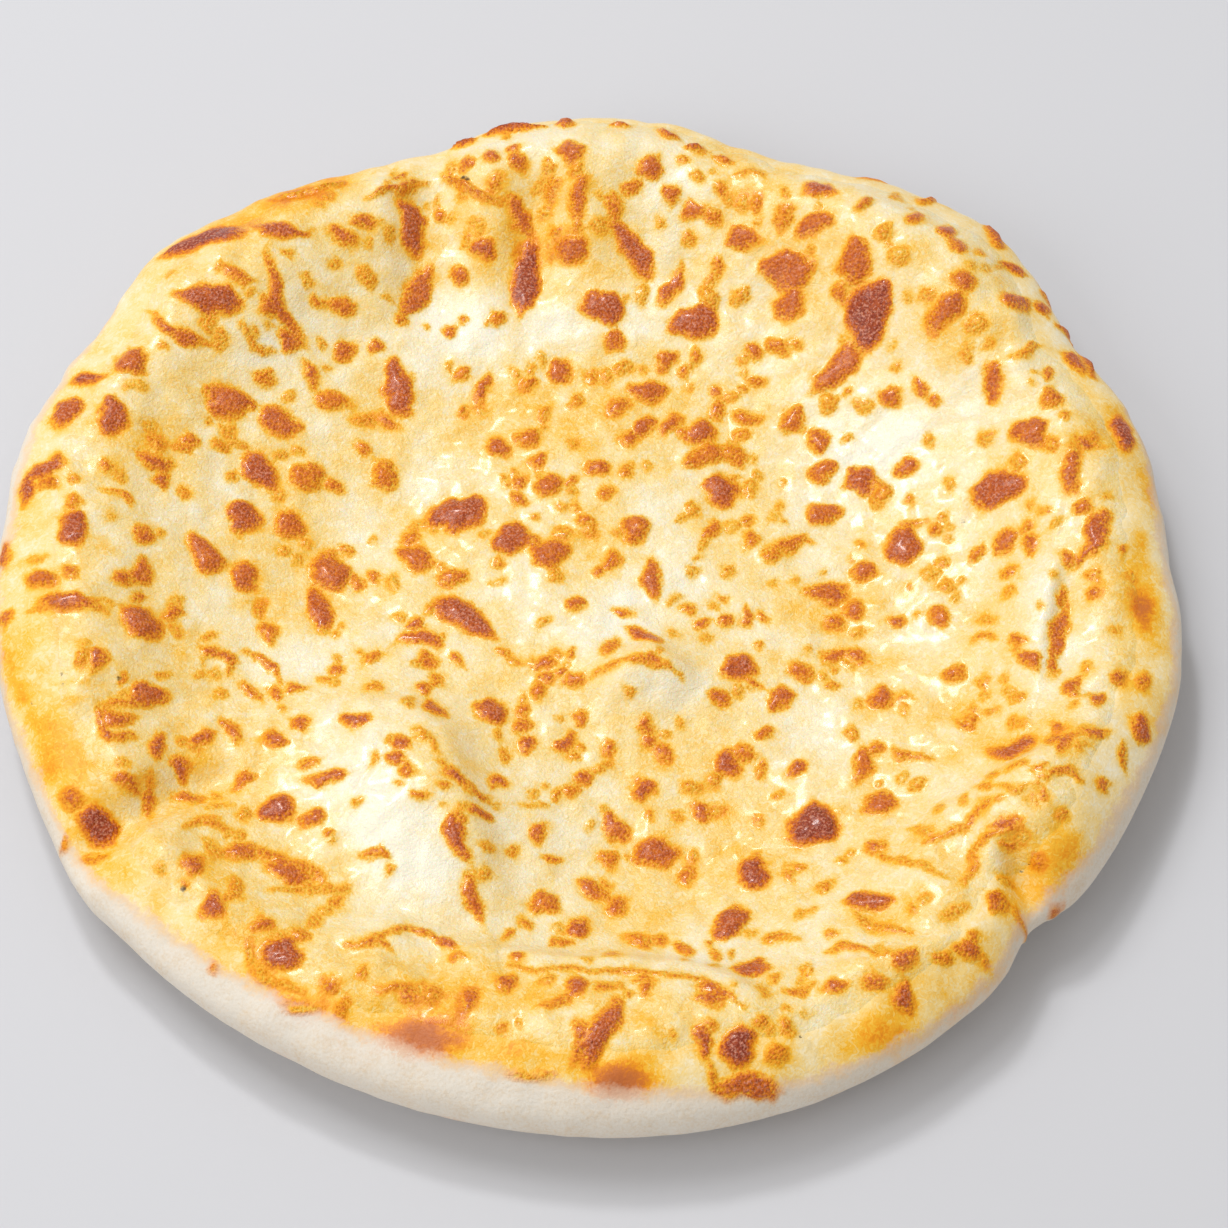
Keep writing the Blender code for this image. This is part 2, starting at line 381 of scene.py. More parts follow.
    def underside(self, x: Array, y: Array) -> Array:
        """Height of the underside, rounded up to the rim."""
        distance, bearing = polar(x, y)
        return self._rolled(self.lift(distance), distance, self.outline(bearing), self.roll_under)

    def pushed(self, x: Array, y: Array, height: Array) -> tuple[Array, Array]:
        """The x and y of places moved outwards by most of a height."""
        stretch = 1 + self.push * height / np.maximum(np.hypot(x, y), MM)
        return x * stretch, y * stretch

    def raised(self, x: Array, y: Array, z: Array, height: Array) -> tuple[Array, Array, Array]:
        """Moves points out of the top: straight up in the middle, outwards at the rim.

        Args:
            x: Places in plan.
            y: The same.
            z: Heights above the table.
            height: How far each point moves.

        Returns:
            x, y and z.
        """
        distance, bearing = polar(x, y)
        upright = smoothstep(0, self.upright_from, self.outline(bearing) - distance)
        return *self.pushed(x, y, height * (1 - upright)), z + height * upright

    def origin(self, points: int = 180) -> Array:
        """The middle of the outline's box, which is the model's origin."""
        bearing = np.arange(points) * FULL_TURN / points
        x, y = from_polar(self.plain_outline(bearing), bearing)
        return np.array([x.min() + x.max(), y.min() + y.max(), 0]) / 2


@dataclass(frozen=True)
class Blister:
    """A bubble of cheese that browned: its place and size in mm, heading in degrees, browning to 1."""

    x: float
    y: float
    length: float
    width: float
    heading: float
    browning: float
    popped: bool = False
    rise: ClassVar[float] = 0.19
    lowest: ClassVar[float] = 0.35
    highest: ClassVar[float] = 2.0
    rim: ClassVar[float] = 0.45
    waves: ClassVar[tuple[tuple[int, float], ...]] = ((2, 0.08), (3, 0.07), (5, 0.04))
    bow: ClassVar[float] = 0.4
    reach_limits: ClassVar[tuple[float, float]] = (0.6, 1.5)

    @property
    def height(self) -> float:
        """How far its dome rises, in metres."""
        return min(max(self.rise * self.width, self.lowest), self.highest) * MM

    def depth(self, x: Array, y: Array, lobes: Array, bend: float) -> tuple[Array, Array]:
        """How far inside the blister's wavy edge places lie.

        Args:
            x: Places in plan, in mm.
            y: The same.
            lobes: Where the edge bulges, as three angles.
            bend: How much a long blister curves.

        Returns:
            The depth in mm, below 0 outside, and the distance as a share of the blister's own reach.
        """
        half_length, half_width = self.length / 2, self.width / 2
        along, across = turned(x - self.x, y - self.y, self.heading)
        across = across + bend * half_width * ((along / half_length) ** 2 - self.bow)
        angle = np.arctan2(across / half_width, along / half_length)
        wavy = np.ones_like(angle)
        for (count, amount), lobe in zip(self.waves, lobes):
            wavy += amount * np.sin(count * angle + lobe)
        share = np.hypot(along / half_length, across / half_width) / wavy
        slope = np.hypot(along / half_length**2, across / half_width**2) / wavy**2
        least, most = (limit * half_width for limit in self.reach_limits)
        depth = (1 - share) * np.clip(share / np.maximum(slope, 1e-6), least, most)
        if self.popped:
            ring = np.maximum(self.rim - np.abs(depth - self.rim), -self.rim)
            depth = np.where(depth > 0, ring, depth)
        return depth, share


@dataclass(frozen=True)
class Strand:
    """A browned string or crest of cheese: points, width and rise in mm, browning to 1."""

    points: tuple[tuple[float, float], ...]
    width: float
    browning: float
    rise: float = 0.6
    taper_margin: ClassVar[float] = 0.04
    taper_power: ClassVar[float] = 0.5
    foot: ClassVar[float] = 0.5

    def depth(self, x: Array, y: Array) -> Array:
        """How far inside the strand's edge places lie.

        Args:
            x: Places in plan, in mm.
            y: The same.

        Returns:
            The depth in mm, below 0 outside.
        """
        line = np.array(self.points, float)
        best = np.full(x.shape, -np.inf)
        count = len(line) - 1
        for number, (start, step) in enumerate(zip(line, np.diff(line, axis=0))):
            share, away = nearest_on(x - start[0], y - start[1], step)
            place = np.clip((number + share) / count, self.taper_margin, 1 - self.taper_margin)
            taper = np.sin(np.pi * place) ** self.taper_power
            best = np.maximum(best, self.width / 2 * taper - away)
        return best


# The blisters that the eye can tell apart, large ones first
PLACED_BLISTERS = tuple(Blister(*row) for row in (
    (-7, 129, 7, 6, 0, 0.7), (73, 129, 12, 5, 175, 0.8), (14, 126, 7, 6, 0, 0.7), (58, 118, 8, 6, 0, 0.8),
    (-20, 114, 11, 5, 110, 0.7), (-48, 109, 14, 7, 100, 0.8), (57, 108, 9, 6, 0, 0.7),
    (38, 107, 9, 6, 0, 0.7), (10, 105, 17, 6, 125, 0.8), (-6, 104, 7, 6, 0, 0.7),
    (-81, 101, 13, 4, 175, 0.8), (-101, 98, 22, 7, 15, 1.0), (50, 98, 14, 9, 0, 0.7),
    (-18, 97, 19, 7, 85, 0.95), (67, 97, 11, 8, 90, 0.7), (-46, 93, 16, 6, 75, 0.7),
    (119, 92, 6, 6, 0, 0.8), (3, 89, 12, 8, 165, 0.8), (51, 89, 8, 8, 0, 0.7), (108, 85, 9, 6, 0, 0.7),
    (26, 85, 13, 9, 20, 0.8), (71, 84, 16, 11, 80, 0.95), (-80, 82, 21, 4, 115, 0.7),
    (90, 81, 11, 6, 45, 0.7), (-98, 79, 16, 7, 170, 0.8), (63, 71, 17, 6, 40, 0.7), (-8, 71, 7, 7, 0, 0.7),
    (-105, 69, 16, 4, 160, 0.7), (15, 66, 9, 7, 0, 0.7), (-49, 64, 18, 7, 100, 0.8),
    (102, 62, 10, 5, 90, 0.7), (-117, 60, 9, 8, 90, 0.7), (-66, 58, 9, 6, 0, 0.6),
    (-128, 56, 8, 4, 0, 0.95), (-92, 54, 11, 8, 170, 0.7), (-79, 51, 12, 7, 155, 0.7),
    (135, 49, 11, 6, 95, 0.9), (111, 47, 9, 8, 0, 0.7), (30, 47, 12, 6, 25, 0.6), (-132, 46, 9, 8, 40, 0.8),
    (-120, 44, 9, 8, 90, 0.8), (81, 43, 6, 5, 0, 0.7), (69, 40, 8, 8, 0, 0.8), (-52, 39, 8, 7, 0, 0.6),
    (34, 37, 10, 8, 115, 0.8), (-83, 36, 13, 7, 120, 0.8), (-71, 36, 9, 7, 0, 0.6),
    (121, 34, 11, 5, 90, 0.7), (103, 33, 12, 10, 170, 0.8), (60, 31, 8, 7, 0, 0.7),
    (-136, 29, 13, 5, 25, 0.8), (-33, 28, 16, 10, 30, 0.85), (-87, 23, 10, 7, 120, 0.8),
    (-140, 23, 7, 4, 95, 0.85), (-75, 22, 8, 7, 140, 0.65), (80, 20, 11, 8, 90, 0.8),
    (-19, 20, 10, 9, 90, 0.8), (127, 17, 14, 5, 75, 0.75), (-9, 16, 9, 8, 0, 0.7), (70, 13, 7, 6, 0, 0.7),
    (-127, 11, 9, 6, 95, 0.85), (17, 10, 12, 5, 90, 0.7), (-64, 10, 11, 9, 95, 0.7),
    (-95, 10, 11, 8, 120, 0.7), (61, 7, 10, 6, 0, 0.7), (-85, 6, 8, 7, 90, 0.7), (-66, -2, 13, 6, 95, 0.75),
    (-30, -3, 17, 8, 150, 0.85), (15, -8, 9, 4, 160, 0.8), (-78, -10, 6, 5, 90, 0.6),
    (117, -10, 20, 4, 75, 0.7), (-127, -11, 15, 4, 10, 0.8), (-109, -13, 12, 9, 120, 0.75),
    (39, -16, 9, 7, 160, 0.8), (92, -18, 5, 5, 0, 0.6), (74, -23, 7, 6, 90, 0.7), (49, -24, 8, 6, 25, 0.7),
    (-117, -26, 6, 4, 95, 0.75), (120, -26, 7, 4, 90, 0.7), (-22, -31, 8, 7, 90, 0.75),
    (-105, -34, 10, 6, 25, 0.75), (136, -37, 7, 5, 90, 0.8), (-55, -37, 7, 4, 0, 0.8),
    (-112, -42, 7, 4, 0, 0.7), (105, -43, 10, 5, 20, 0.8), (36, -43, 7, 6, 90, 0.8),
    (53, -44, 4, 4, 0, 0.8), (73, -54, 7, 7, 0, 0.7), (-61, -54, 9, 4, 0, 0.7), (57, -60, 14, 11, 15, 1.0),
    (-72, -62, 8, 7, 0, 0.85), (-121, -64, 5, 5, 0, 0.7), (19, -67, 11, 7, 0, 0.75),
    (-114, -70, 10, 9, 90, 0.95), (-29, -70, 11, 5, 105, 0.8), (43, -74, 9, 8, 90, 0.9),
    (-80, -75, 7, 6, 0, 0.7), (-69, -79, 12, 5, 155, 0.7), (-91, -80, 5, 5, 0, 0.7),
    (116, -84, 5, 3, 60, 0.9), (70, -84, 10, 6, 0, 0.8), (-24, -85, 12, 4, 100, 0.7),
    (37, -88, 11, 8, 55, 0.8), (1, -90, 6, 5, 0, 0.75), (-85, -92, 7, 5, 75, 0.8), (92, -98, 7, 4, 15, 0.7),
    (-30, -98, 6, 4, 160, 0.8), (42, -102, 10, 5, 0, 0.8), (78, -102, 6, 4, 90, 0.7),
    (-68, -104, 9, 8, 25, 0.85), (1, -111, 5, 5, 0, 0.8), (78, -111, 7, 5, 110, 0.8),
    (33, -111, 10, 3, 150, 0.8), (-24, -115, 9, 4, 75, 0.7), (7, -123, 18, 6, 65, 0.8),
    (31, -124, 7, 4, 90, 0.8), (39, -126, 10, 8, 80, 1.0), (42, -134, 14, 5, 0, 0.8),
    (-28, 129, 5, 5, 0, 0.7), (-21, 127, 5, 4, 165, 0.7), (-34, 127, 4, 4, 0, 0.65),
    (117, 56, 5, 5, 0, 0.6), (120, 51, 3, 3, 0, 0.55), (74, 36, 7, 7, 0, 0.5), (110, 98, 5, 4, 155, 0.8),
    (-109, 39, 4, 2.7, 0, 0.65), (-109, 34, 7.8, 4.1, 160, 0.69), (-101, 42, 4.8, 4.5, 0, 0.62),
    (-103, 39, 4.5, 3, 0, 0.57), (-94, 41, 3.8, 3.1, 150, 0.57), (-107, 29, 4.8, 3.8, 130, 0.73),
    (-101, 27, 2.9, 2, 160, 0.57), (-116, 22, 6.7, 3.1, 150, 0.67), (-120, 30, 3, 3, 0, 0.62),
    (-128, 25, 2.7, 3, 0, 0.57), (-135, 24, 5.5, 4.1, 0, 0.59), (-128, 18, 4.2, 3.5, 0, 0.57),
    (-110, 12, 5.3, 4.2, 90, 0.65), (-110, 2, 7, 4.7, 90, 0.67), (-114, -1, 5.2, 4, 0, 0.69),
    (-127, -2, 3.7, 3.7, 0, 0.65), (-134, -4, 8.2, 5.8, 160, 0.69), (-144, 5, 6.4, 3, 100, 0.79),
    (-142, -13, 4, 2.2, 100, 0.73), (-110, -5, 3.6, 2.5, 50, 0.69), (-101, -8, 4.7, 4.1, 50, 0.65),
    (-136, 3, 3.9, 2, 0, 0.42), (-64, 73, 6.3, 5.1, 60, 0.65), (-56, 75, 5.4, 3.3, 40, 0.69),
    (-84, 62, 5.2, 4.3, 30, 0.57), (-72, 64, 8.8, 3.1, 110, 0.72), (-58, 46, 5.9, 3.7, 120, 0.62),
    (-59, 54, 2.8, 3.1, 0, 0.57), (-51, 54, 6.2, 2.6, 140, 0.73), (-64, 35, 4.6, 3.9, 10, 0.57),
    (-76, 15, 3, 3.2, 0, 0.45), (-72, 12, 2.5, 2.4, 0, 0.42), (-53, 9, 3.5, 3.2, 0, 0.62),
    (-57, 7, 5.1, 2.8, 120, 0.69), (-81, -3, 3.8, 2.2, 90, 0.57), (-91, -18, 7.7, 3, 150, 0.69),
    (-87, -19, 3.7, 3.7, 0, 0.73), (-61, -20, 4.6, 3.3, 160, 0.67), (-52, -16, 7.5, 2.8, 20, 0.57),
    (-64, -23, 3, 2, 0, 0.57), (-70, -26, 3.7, 2.8, 0, 0.65), (-75, -28, 4.5, 3.4, 140, 0.69),
    (-81, -27, 6.5, 2.3, 130, 0.63), (-88, -29, 2.9, 2.8, 0, 0.45), (-51, -26, 2.9, 3.1, 0, 0.62),
    (-112, -31, 1.7, 1.7, 0, 0.77), (-103, -27, 2.4, 1.4, 0, 0.57), (-68, -37, 4.9, 4.2, 10, 0.67),
    (-85, -40, 7.1, 4, 120, 0.67), (-102, -47, 7.1, 3.7, 90, 0.79), (-92, -43, 6.2, 3.7, 60, 0.77),
    (-96, -45, 2.4, 2.5, 0, 0.57), (-74, -42, 5.1, 5.3, 0, 0.73), (-96, -52, 5, 3.3, 130, 0.8),
    (-81, -54, 6.4, 3.5, 40, 0.69), (-65, -49, 4.1, 3, 0, 0.57), (-109, -59, 6.7, 3.2, 160, 0.67),
    (-103, -61, 8.1, 2.7, 90, 0.69), (-94, -59, 6, 2.9, 160, 0.67), (-86, -62, 3.6, 1.6, 10, 0.48),
    (-64, -64, 5.6, 4.4, 60, 0.71), (-60, -68, 3.1, 2.2, 130, 0.57), (-53, -61, 3.1, 2.2, 0, 0.45),
    (-50, -49, 4.1, 1.9, 90, 0.57), (-122, -74, 3.9, 2.1, 50, 0.62), (-115, -78, 5.2, 2.7, 10, 0.57),
    (-73, -96, 5.7, 3.4, 30, 0.71), (-64, -98, 5.2, 3.1, 20, 0.57), (-49, -74, 6.2, 2.7, 10, 0.57),
    (-45, -78, 3.5, 2.9, 90, 0.48), (-57, -87, 3.1, 2.1, 0, 0.69), (-59, -90, 3.6, 2.1, 0, 0.45),
    (-57, -112, 3.3, 3.3, 0, 0.62), (-49, -109, 2.8, 2.8, 0, 0.57), (-53, -117, 5.1, 2.6, 90, 0.57),
    (-84, -108, 2.3, 1.9, 90, 0.67), (-63, -117, 9.3, 2.3, 0, 0.38), (-92, -86, 1.7, 1.1, 0, 0.67),
    (-92, 86, 8.3, 3.2, 150, 0.62), (-83, 79, 5.3, 5.1, 160, 0.65), (-78, 72, 5.1, 6.2, 0, 0.71),
    (-94, 69, 6.2, 3.3, 90, 0.45), (-71, 84, 3.3, 3.8, 0, 0.57), (-65, 84, 7, 5.6, 10, 0.62),
    (-59, 93, 5.7, 4.4, 0, 0.48), (-66, 102, 6.4, 4, 160, 0.69), (-60, 107, 6.8, 3.8, 10, 0.65),
    (-41, 114, 4.5, 3.1, 90, 0.57), (-29, 104, 6, 4.8, 170, 0.75), (-35, 97, 4.2, 4.8, 0, 0.67),
    (-37, 82, 4.7, 3.4, 90, 0.67), (-43, 82, 2.3, 2.2, 0, 0.57), (-34, 85, 2.6, 2.8, 0, 0.57),
    (-25, 85, 3.9, 3.8, 0, 0.57), (-49, 84, 4.1, 3.8, 0, 0.59), (-70, 74, 2.3, 2.5, 0, 0.45),
    (-67, 95, 2.1, 2.2, 0, 0.45), (-73, 89, 3.1, 2.1, 90, 0.42), (-28, 65, 9.1, 3.7, 80, 0.69),
    (-32, 58, 2.8, 3.1, 0, 0.57), (-23, 48, 6.2, 5.3, 130, 0.71), (-17, 51, 5.5, 4.1, 90, 0.57),
    (-17, 67, 4.7, 4.3, 10, 0.59), (-20, 70, 2.1, 2.2, 0, 0.42), (-17, 38, 4.1, 4.2, 0, 0.65),
    (-18, 33, 3.3, 3.6, 0, 0.65), (-39, 124, 4.2, 1.9, 0, 0.73), (-51, 123, 2.9, 1.9, 0, 0.73),
    (-22, 131, 3.9, 3.6, 0, 0.77), (-97, 73, 4.9, 3.6, 90, 0.48), (-109, 64, 2, 1.5, 0, 0.57),
    (-4, 116, 10.2, 4.2, 80, 0.67), (5, 115, 6.9, 3.8, 110, 0.62), (9, 120, 4.7, 4.6, 150, 0.65),
    (19, 119, 4.4, 5.5, 0, 0.67), (26, 124, 3.4, 3.2, 0, 0.45), (32, 120, 3.9, 2.4, 90, 0.62),
    (25, 115, 5.5, 4.9, 150, 0.71), (30, 113, 5, 4.1, 130, 0.57), (42, 116, 4.2, 3.1, 90, 0.62),
    (49, 111, 6.1, 4.7, 90, 0.57), (24, 108, 3.1, 3.8, 0, 0.57), (17, 112, 2.6, 2.9, 0, 0.4),
    (-12, 120, 6.5, 4.2, 90, 0.48), (-13, 125, 3.4, 4.2, 0, 0.48), (-10, 109, 3.9, 3.2, 0, 0.57),
    (-5, 109, 2.6, 3.2, 0, 0.48), (1, 109, 3.9, 3.2, 0, 0.42), (20, 95, 12, 3.6, 60, 0.73),
    (32, 100, 4.1, 3.1, 90, 0.65), (30, 93, 4.9, 5.4, 0, 0.45), (31, 97, 3.9, 3.2, 0, 0.48),
    (38, 92, 5.2, 4.7, 0, 0.42), (6, 80, 7.4, 4.5, 70, 0.69), (8, 72, 4.7, 3.7, 0, 0.45),
    (19, 75, 5.5, 4.6, 10, 0.67), (27, 76, 3.1, 3.7, 0, 0.59), (24, 72, 3.7, 2.8, 90, 0.62),
    (42, 77, 5.4, 4.6, 30, 0.67), (48, 78, 5.5, 3.7, 160, 0.57), (43, 69, 4.5, 3.7, 160, 0.57),
    (39, 67, 3.1, 2.5, 0, 0.59), (32, 66, 3.1, 2.5, 130, 0.71), (33, 61, 5.5, 3.1, 90, 0.63),
    (40, 59, 6.7, 4.3, 160, 0.59), (52, 58, 7.5, 5.3, 50, 0.63), (7, 61, 6, 3.5, 40, 0.65),
    (14, 55, 6.8, 5.6, 50, 0.73), (10, 51, 5.3, 3.9, 30, 0.67), (21, 56, 4.9, 5.5, 0, 0.67),
    (29, 54, 8.9, 6, 20, 0.73), (25, 53, 3.1, 3.7, 0, 0.65), (37, 48, 5.6, 6.4, 0, 0.57),
    (43, 42, 3.3, 3.9, 0, 0.42), (2, 42, 5.9, 5.4, 0, 0.69), (9, 42, 4.2, 3.3, 90, 0.59),
    (-13, 44, 4.6, 4.2, 0, 0.65), (-16, 51, 6.2, 5.1, 50, 0.65), (-10, 37, 7.3, 5.5, 60, 0.67),
    (-4, 38, 2.8, 3, 0, 0.63), (5, 35, 4.8, 3.6, 90, 0.63), (-12, 59, 4.6, 3.5, 40, 0.48),
    (-4, 62, 3.3, 4, 0, 0.48), (-4, 49, 2.6, 2.7, 0, 0.42), (39, 75, 2.1, 2.2, 0, 0.45),
    (-26, 121, 3.9, 3.9, 0, 0.57), (13, 93, 6.3, 2.6, 90, 0.4), (49, 118, 1.8, 2.2, 0, 0.48),
    (12, 24, 7.6, 8, 0, 0.65), (-1, 26, 4.6, 3.2, 160, 0.63), (-6, 23, 3.8, 2.7, 0, 0.45),
    (0, 23, 3.3, 3, 0, 0.45), (7, 15, 4.4, 3.3, 90, 0.63), (4, 12, 4.1, 2.7, 50, 0.73),
    (32, 25, 7, 3.6, 70, 0.61), (30, 20, 4, 2.3, 40, 0.42), (41, 28, 3.3, 3.6, 0, 0.62),
    (41, 22, 5, 3.8, 90, 0.62), (47, 18, 3.8, 3.8, 0, 0.57), (35, 13, 3.3, 3.8, 0, 0.45),
    (27, 12, 3.8, 2.9, 0, 0.38), (26, 1, 3.5, 2.6, 0, 0.57), (35, 5, 2.3, 1.2, 0, 0.69),
    (29, -3, 3.5, 2.6, 0, 0.73), (35, -2, 4.5, 3.2, 10, 0.63), (40, -1, 5.8, 3, 80, 0.67),
    (45, -1, 3.3, 2.3, 150, 0.62), (31, -7, 3.2, 1.7, 0, 0.42), (10, -0, 4, 2, 160, 0.79),
    (-3, 1, 5.1, 4.3, 20, 0.67), (-22, 13, 3, 2.3, 0, 0.59), (-13, 20, 4.1, 3, 90, 0.63),
    (-8, 10, 4, 3.2, 0, 0.45), (-33, 9, 6.8, 5.1, 40, 0.62), (-43, 14, 8.7, 6.4, 160, 0.69),
    (-45, 20, 3.8, 4.1, 0, 0.62), (-48, 7, 3.8, 4.4, 0, 0.38), (-42, -6, 5, 3.7, 0, 0.69),
    (-38, -1, 4.7, 2.3, 40, 0.57), (-40, -10, 10.9, 3.7, 10, 0.73), (-10, -4, 3.2, 2.4, 50, 0.42),
    (7, -12, 6, 3.2, 80, 0.61), (-3, -13, 3.5, 2.9, 0, 0.62), (-31, -16, 4.5, 2.4, 140, 0.71),
    (-19, -13, 3.2, 2.3, 0, 0.57), (-38, -16, 4.2, 4, 0, 0.65), (-36, -22, 5.7, 3, 90, 0.59),
    (-39, -26, 3.9, 3.5, 150, 0.73), (-36, -32, 6, 4.3, 140, 0.75), (-42, -31, 2.4, 2.8, 0, 0.45),
    (-9, -16, 5.5, 4, 20, 0.65), (-8, -20, 3.2, 3.1, 0, 0.73), (-5, -19, 3, 2.8, 0, 0.71),
    (-10, -20, 2.2, 2.3, 0, 0.65), (-2, -21, 4.7, 3.4, 0, 0.65), (-11, -24, 4.8, 4.2, 60, 0.62),
    (-15, -30, 4.5, 3.2, 90, 0.57), (-14, -35, 4.2, 3.9, 0, 0.65), (-13, -40, 4.8, 3.8, 40, 0.79),
    (0, -31, 3.4, 3.9, 0, 0.65), (-4, -38, 7.3, 3.7, 50, 0.79), (7, -40, 5, 2.7, 80, 0.69),
    (-2, -42, 2.4, 2.2, 0, 0.57), (-18, -43, 2.8, 2.2, 90, 0.57), (1, -48, 4.9, 4.7, 0, 0.71),
    (17, -37, 4.8, 3.6, 120, 0.65), (20, -40, 4.7, 3.7, 130, 0.65), (21, -35, 2.9, 2.8, 0, 0.45),
    (16, -50, 6.3, 4.7, 0, 0.79), (27, -49, 3.9, 3.9, 0, 0.45), (34, -25, 4.2, 3.7, 0, 0.75),
    (43, -20, 3.7, 1.7, 160, 0.71), (45, -34, 3.9, 4.5, 0, 0.65), (40, -39, 5.8, 3.3, 150, 0.61),
    (44, -44, 3.9, 2.7, 90, 0.57), (30, -56, 5.5, 3.9, 130, 0.73), (12, -25, 3.2, 3.7, 0, 0.42),
    (-43, -45, 5.6, 3.7, 150, 0.73), (-44, -49, 5.2, 3.8, 160, 0.73), (-41, -52, 3.9, 3.6, 0, 0.69),
    (-30, -53, 7.6, 3.4, 140, 0.77), (-32, -56, 3, 1.8, 150, 0.67), (-19, -51, 5.3, 3.6, 0, 0.73),
    (-23, -56, 4.1, 2.5, 0, 0.61), (-39, -59, 5.1, 2.2, 170, 0.61), (-23, -62, 5.5, 3.7, 150, 0.75),
    (-5, -53, 3.6, 2.6, 50, 0.57), (-9, -64, 4.8, 4.6, 0, 0.71), (-6, -70, 3.5, 2.4, 30, 0.67),
    (9, -61, 7.8, 5.2, 110, 0.69), (8, -69, 5.1, 3.8, 0, 0.61), (-8, -83, 6.5, 6.9, 0, 0.63),
    (4, -78, 8.8, 4, 150, 0.69), (10, -83, 4.8, 4.5, 0, 0.67), (-12, -90, 3, 2.8, 140, 0.57),
    (-16, -93, 2.4, 2.1, 0, 0.62), (-3, -95, 4.3, 3.2, 0, 0.61), (-13, -101, 3.6, 2.3, 150, 0.73),
    (9, -100, 3.3, 2.1, 0, 0.57), (15, -93, 6.7, 3.7, 160, 0.59), (20, -93, 4.8, 2.6, 150, 0.57),
    (26, -96, 4.5, 3.9, 0, 0.65), (27, -73, 4.3, 3.7, 30, 0.61), (28, -68, 2.4, 2.7, 0, 0.4),
    (33, -98, 3.4, 2.1, 90, 0.62), (32, -114, 6.4, 3.3, 150, 0.75), (-16, -110, 4.8, 3.8, 30, 0.69),
    (8, -111, 5.4, 2.3, 0, 0.59), (17, -111, 5.1, 2.6, 80, 0.67), (16, -108, 3.7, 1.5, 0, 0.73),
    (-3, -115, 7.1, 2.5, 30, 0.62), (2, -126, 8.6, 2.3, 80, 0.77), (-46, -74, 3.5, 2.9, 90, 0.57),
    (-27, -103, 2.8, 2.3, 0, 0.65), (-38, -115, 5.9, 2.3, 160, 0.75), (47, -93, 3.6, 3.2, 0, 0.57),
    (45, -111, 2.3, 1.5, 0, 0.57), (44, -120, 3.6, 2.7, 30, 0.57), (-16, -123, 1.4, 1.5, 0, 0.73),
    (-28, -64, 2.9, 2.2, 0, 0.57), (-22, -71, 2.9, 2.2, 0, 0.48), (59, 52, 6.4, 6.1, 0, 0.69),
    (59, 43, 6.5, 5.9, 20, 0.65), (66, 52, 3.1, 2.4, 0, 0.42), (87, 49, 3.1, 3.6, 0, 0.45),
    (91, 36, 4.2, 2.8, 90, 0.4), (81, 33, 2, 1.5, 0, 0.57), (88, 24, 3.8, 4.4, 0, 0.62),
    (83, 26, 6.3, 1.8, 0, 0.57), (98, 16, 4.4, 3.5, 90, 0.61), (105, 18, 7.2, 4.6, 60, 0.67),
    (111, 16, 6.4, 3.5, 90, 0.69), (110, 22, 3, 3.2, 0, 0.57), (106, 9, 3.2, 3.8, 0, 0.59),
    (105, 3, 2.2, 2.3, 0, 0.48), (89, 14, 3.3, 2.6, 0, 0.45), (90, 8, 3.3, 3.5, 0, 0.45),
    (87, 11, 3, 2.6, 0, 0.38), (51, 21, 9.5, 4, 30, 0.62), (67, 2, 4.8, 4.9, 0, 0.67),
    (63, -2, 5.2, 4.3, 0, 0.63), (78, -1, 3.5, 3.5, 0, 0.73), (88, -1, 6.4, 5, 90, 0.65),
    (62, -11, 7.2, 3.4, 20, 0.65), (68, -11, 5.5, 3.7, 170, 0.67), (54, -16, 6, 4.3, 160, 0.61),
    (62, -19, 3, 2.8, 0, 0.57), (99, -9, 4.5, 2, 0, 0.57), (107, -11, 4.4, 3.4, 0, 0.59),
    (109, -18, 6.4, 4.4, 130, 0.69), (98, -21, 3.4, 2.7, 90, 0.45), (100, -3, 3, 2.9, 0, 0.35),
    (106, -28, 3.9, 3.6, 0, 0.48), (95, -32, 4.7, 3.9, 0, 0.59), (106, -36, 3.2, 1.9, 0, 0.45),
    (100, -30, 2.2, 2.5, 0, 0.45), (126, -31, 4.4, 3.9, 0, 0.79), (131, -24, 4.2, 3.3, 10, 0.71),
    (137, -24, 4.8, 2.2, 90, 0.73), (126, 0, 3.4, 2.8, 20, 0.71), (124, 42, 3.3, 3.3, 0, 0.73),
    (123, 24, 5, 4.4, 0, 0.69), (123, 11, 7.5, 3, 60, 0.73), (119, 10, 4.1, 2.7, 90, 0.67),
    (118, -0, 5.2, 3.2, 70, 0.65), (115, -19, 6.2, 2.7, 90, 0.69), (124, -41, 7.3, 3, 10, 0.73),
    (116, -39, 3.9, 3.1, 30, 0.73), (117, -45, 7.1, 2.9, 60, 0.73), (114, -43, 4.3, 2.8, 0, 0.79),
    (110, -52, 4, 2.1, 20, 0.62), (131, -46, 6.9, 1.9, 90, 0.65), (126, -54, 3.5, 2.9, 90, 0.77),
    (69, -42, 9.7, 4.4, 80, 0.65), (73, -38, 3.4, 3.3, 0, 0.65), (83, -50, 3.9, 3.3, 0, 0.42),
    (130, 27, 2.2, 1.2, 0, 0.57), (133, 12, 2.2, 2.3, 0, 0.77), (72, -67, 4.8, 3.8, 160, 0.69),
    (98, -54, 2.4, 2.2, 0, 0.57), (59, -78, 3.8, 3.7, 0, 0.48), (53, -72, 3.9, 2.1, 160, 0.57),
    (49, -93, 5.7, 2.6, 0, 0.57), (61, -109, 6.9, 3.1, 10, 0.75), (53, -110, 5.2, 2, 20, 0.69),
    (71, -108, 4.8, 3.3, 20, 0.65), (87, -101, 4.7, 3.6, 0, 0.57), (97, -100, 1.9, 2.1, 0, 0.62),
    (94, -95, 3.5, 2.1, 0, 0.67), (100, -85, 5.2, 5.8, 0, 0.69), (102, -79, 3.6, 3.2, 0, 0.45),
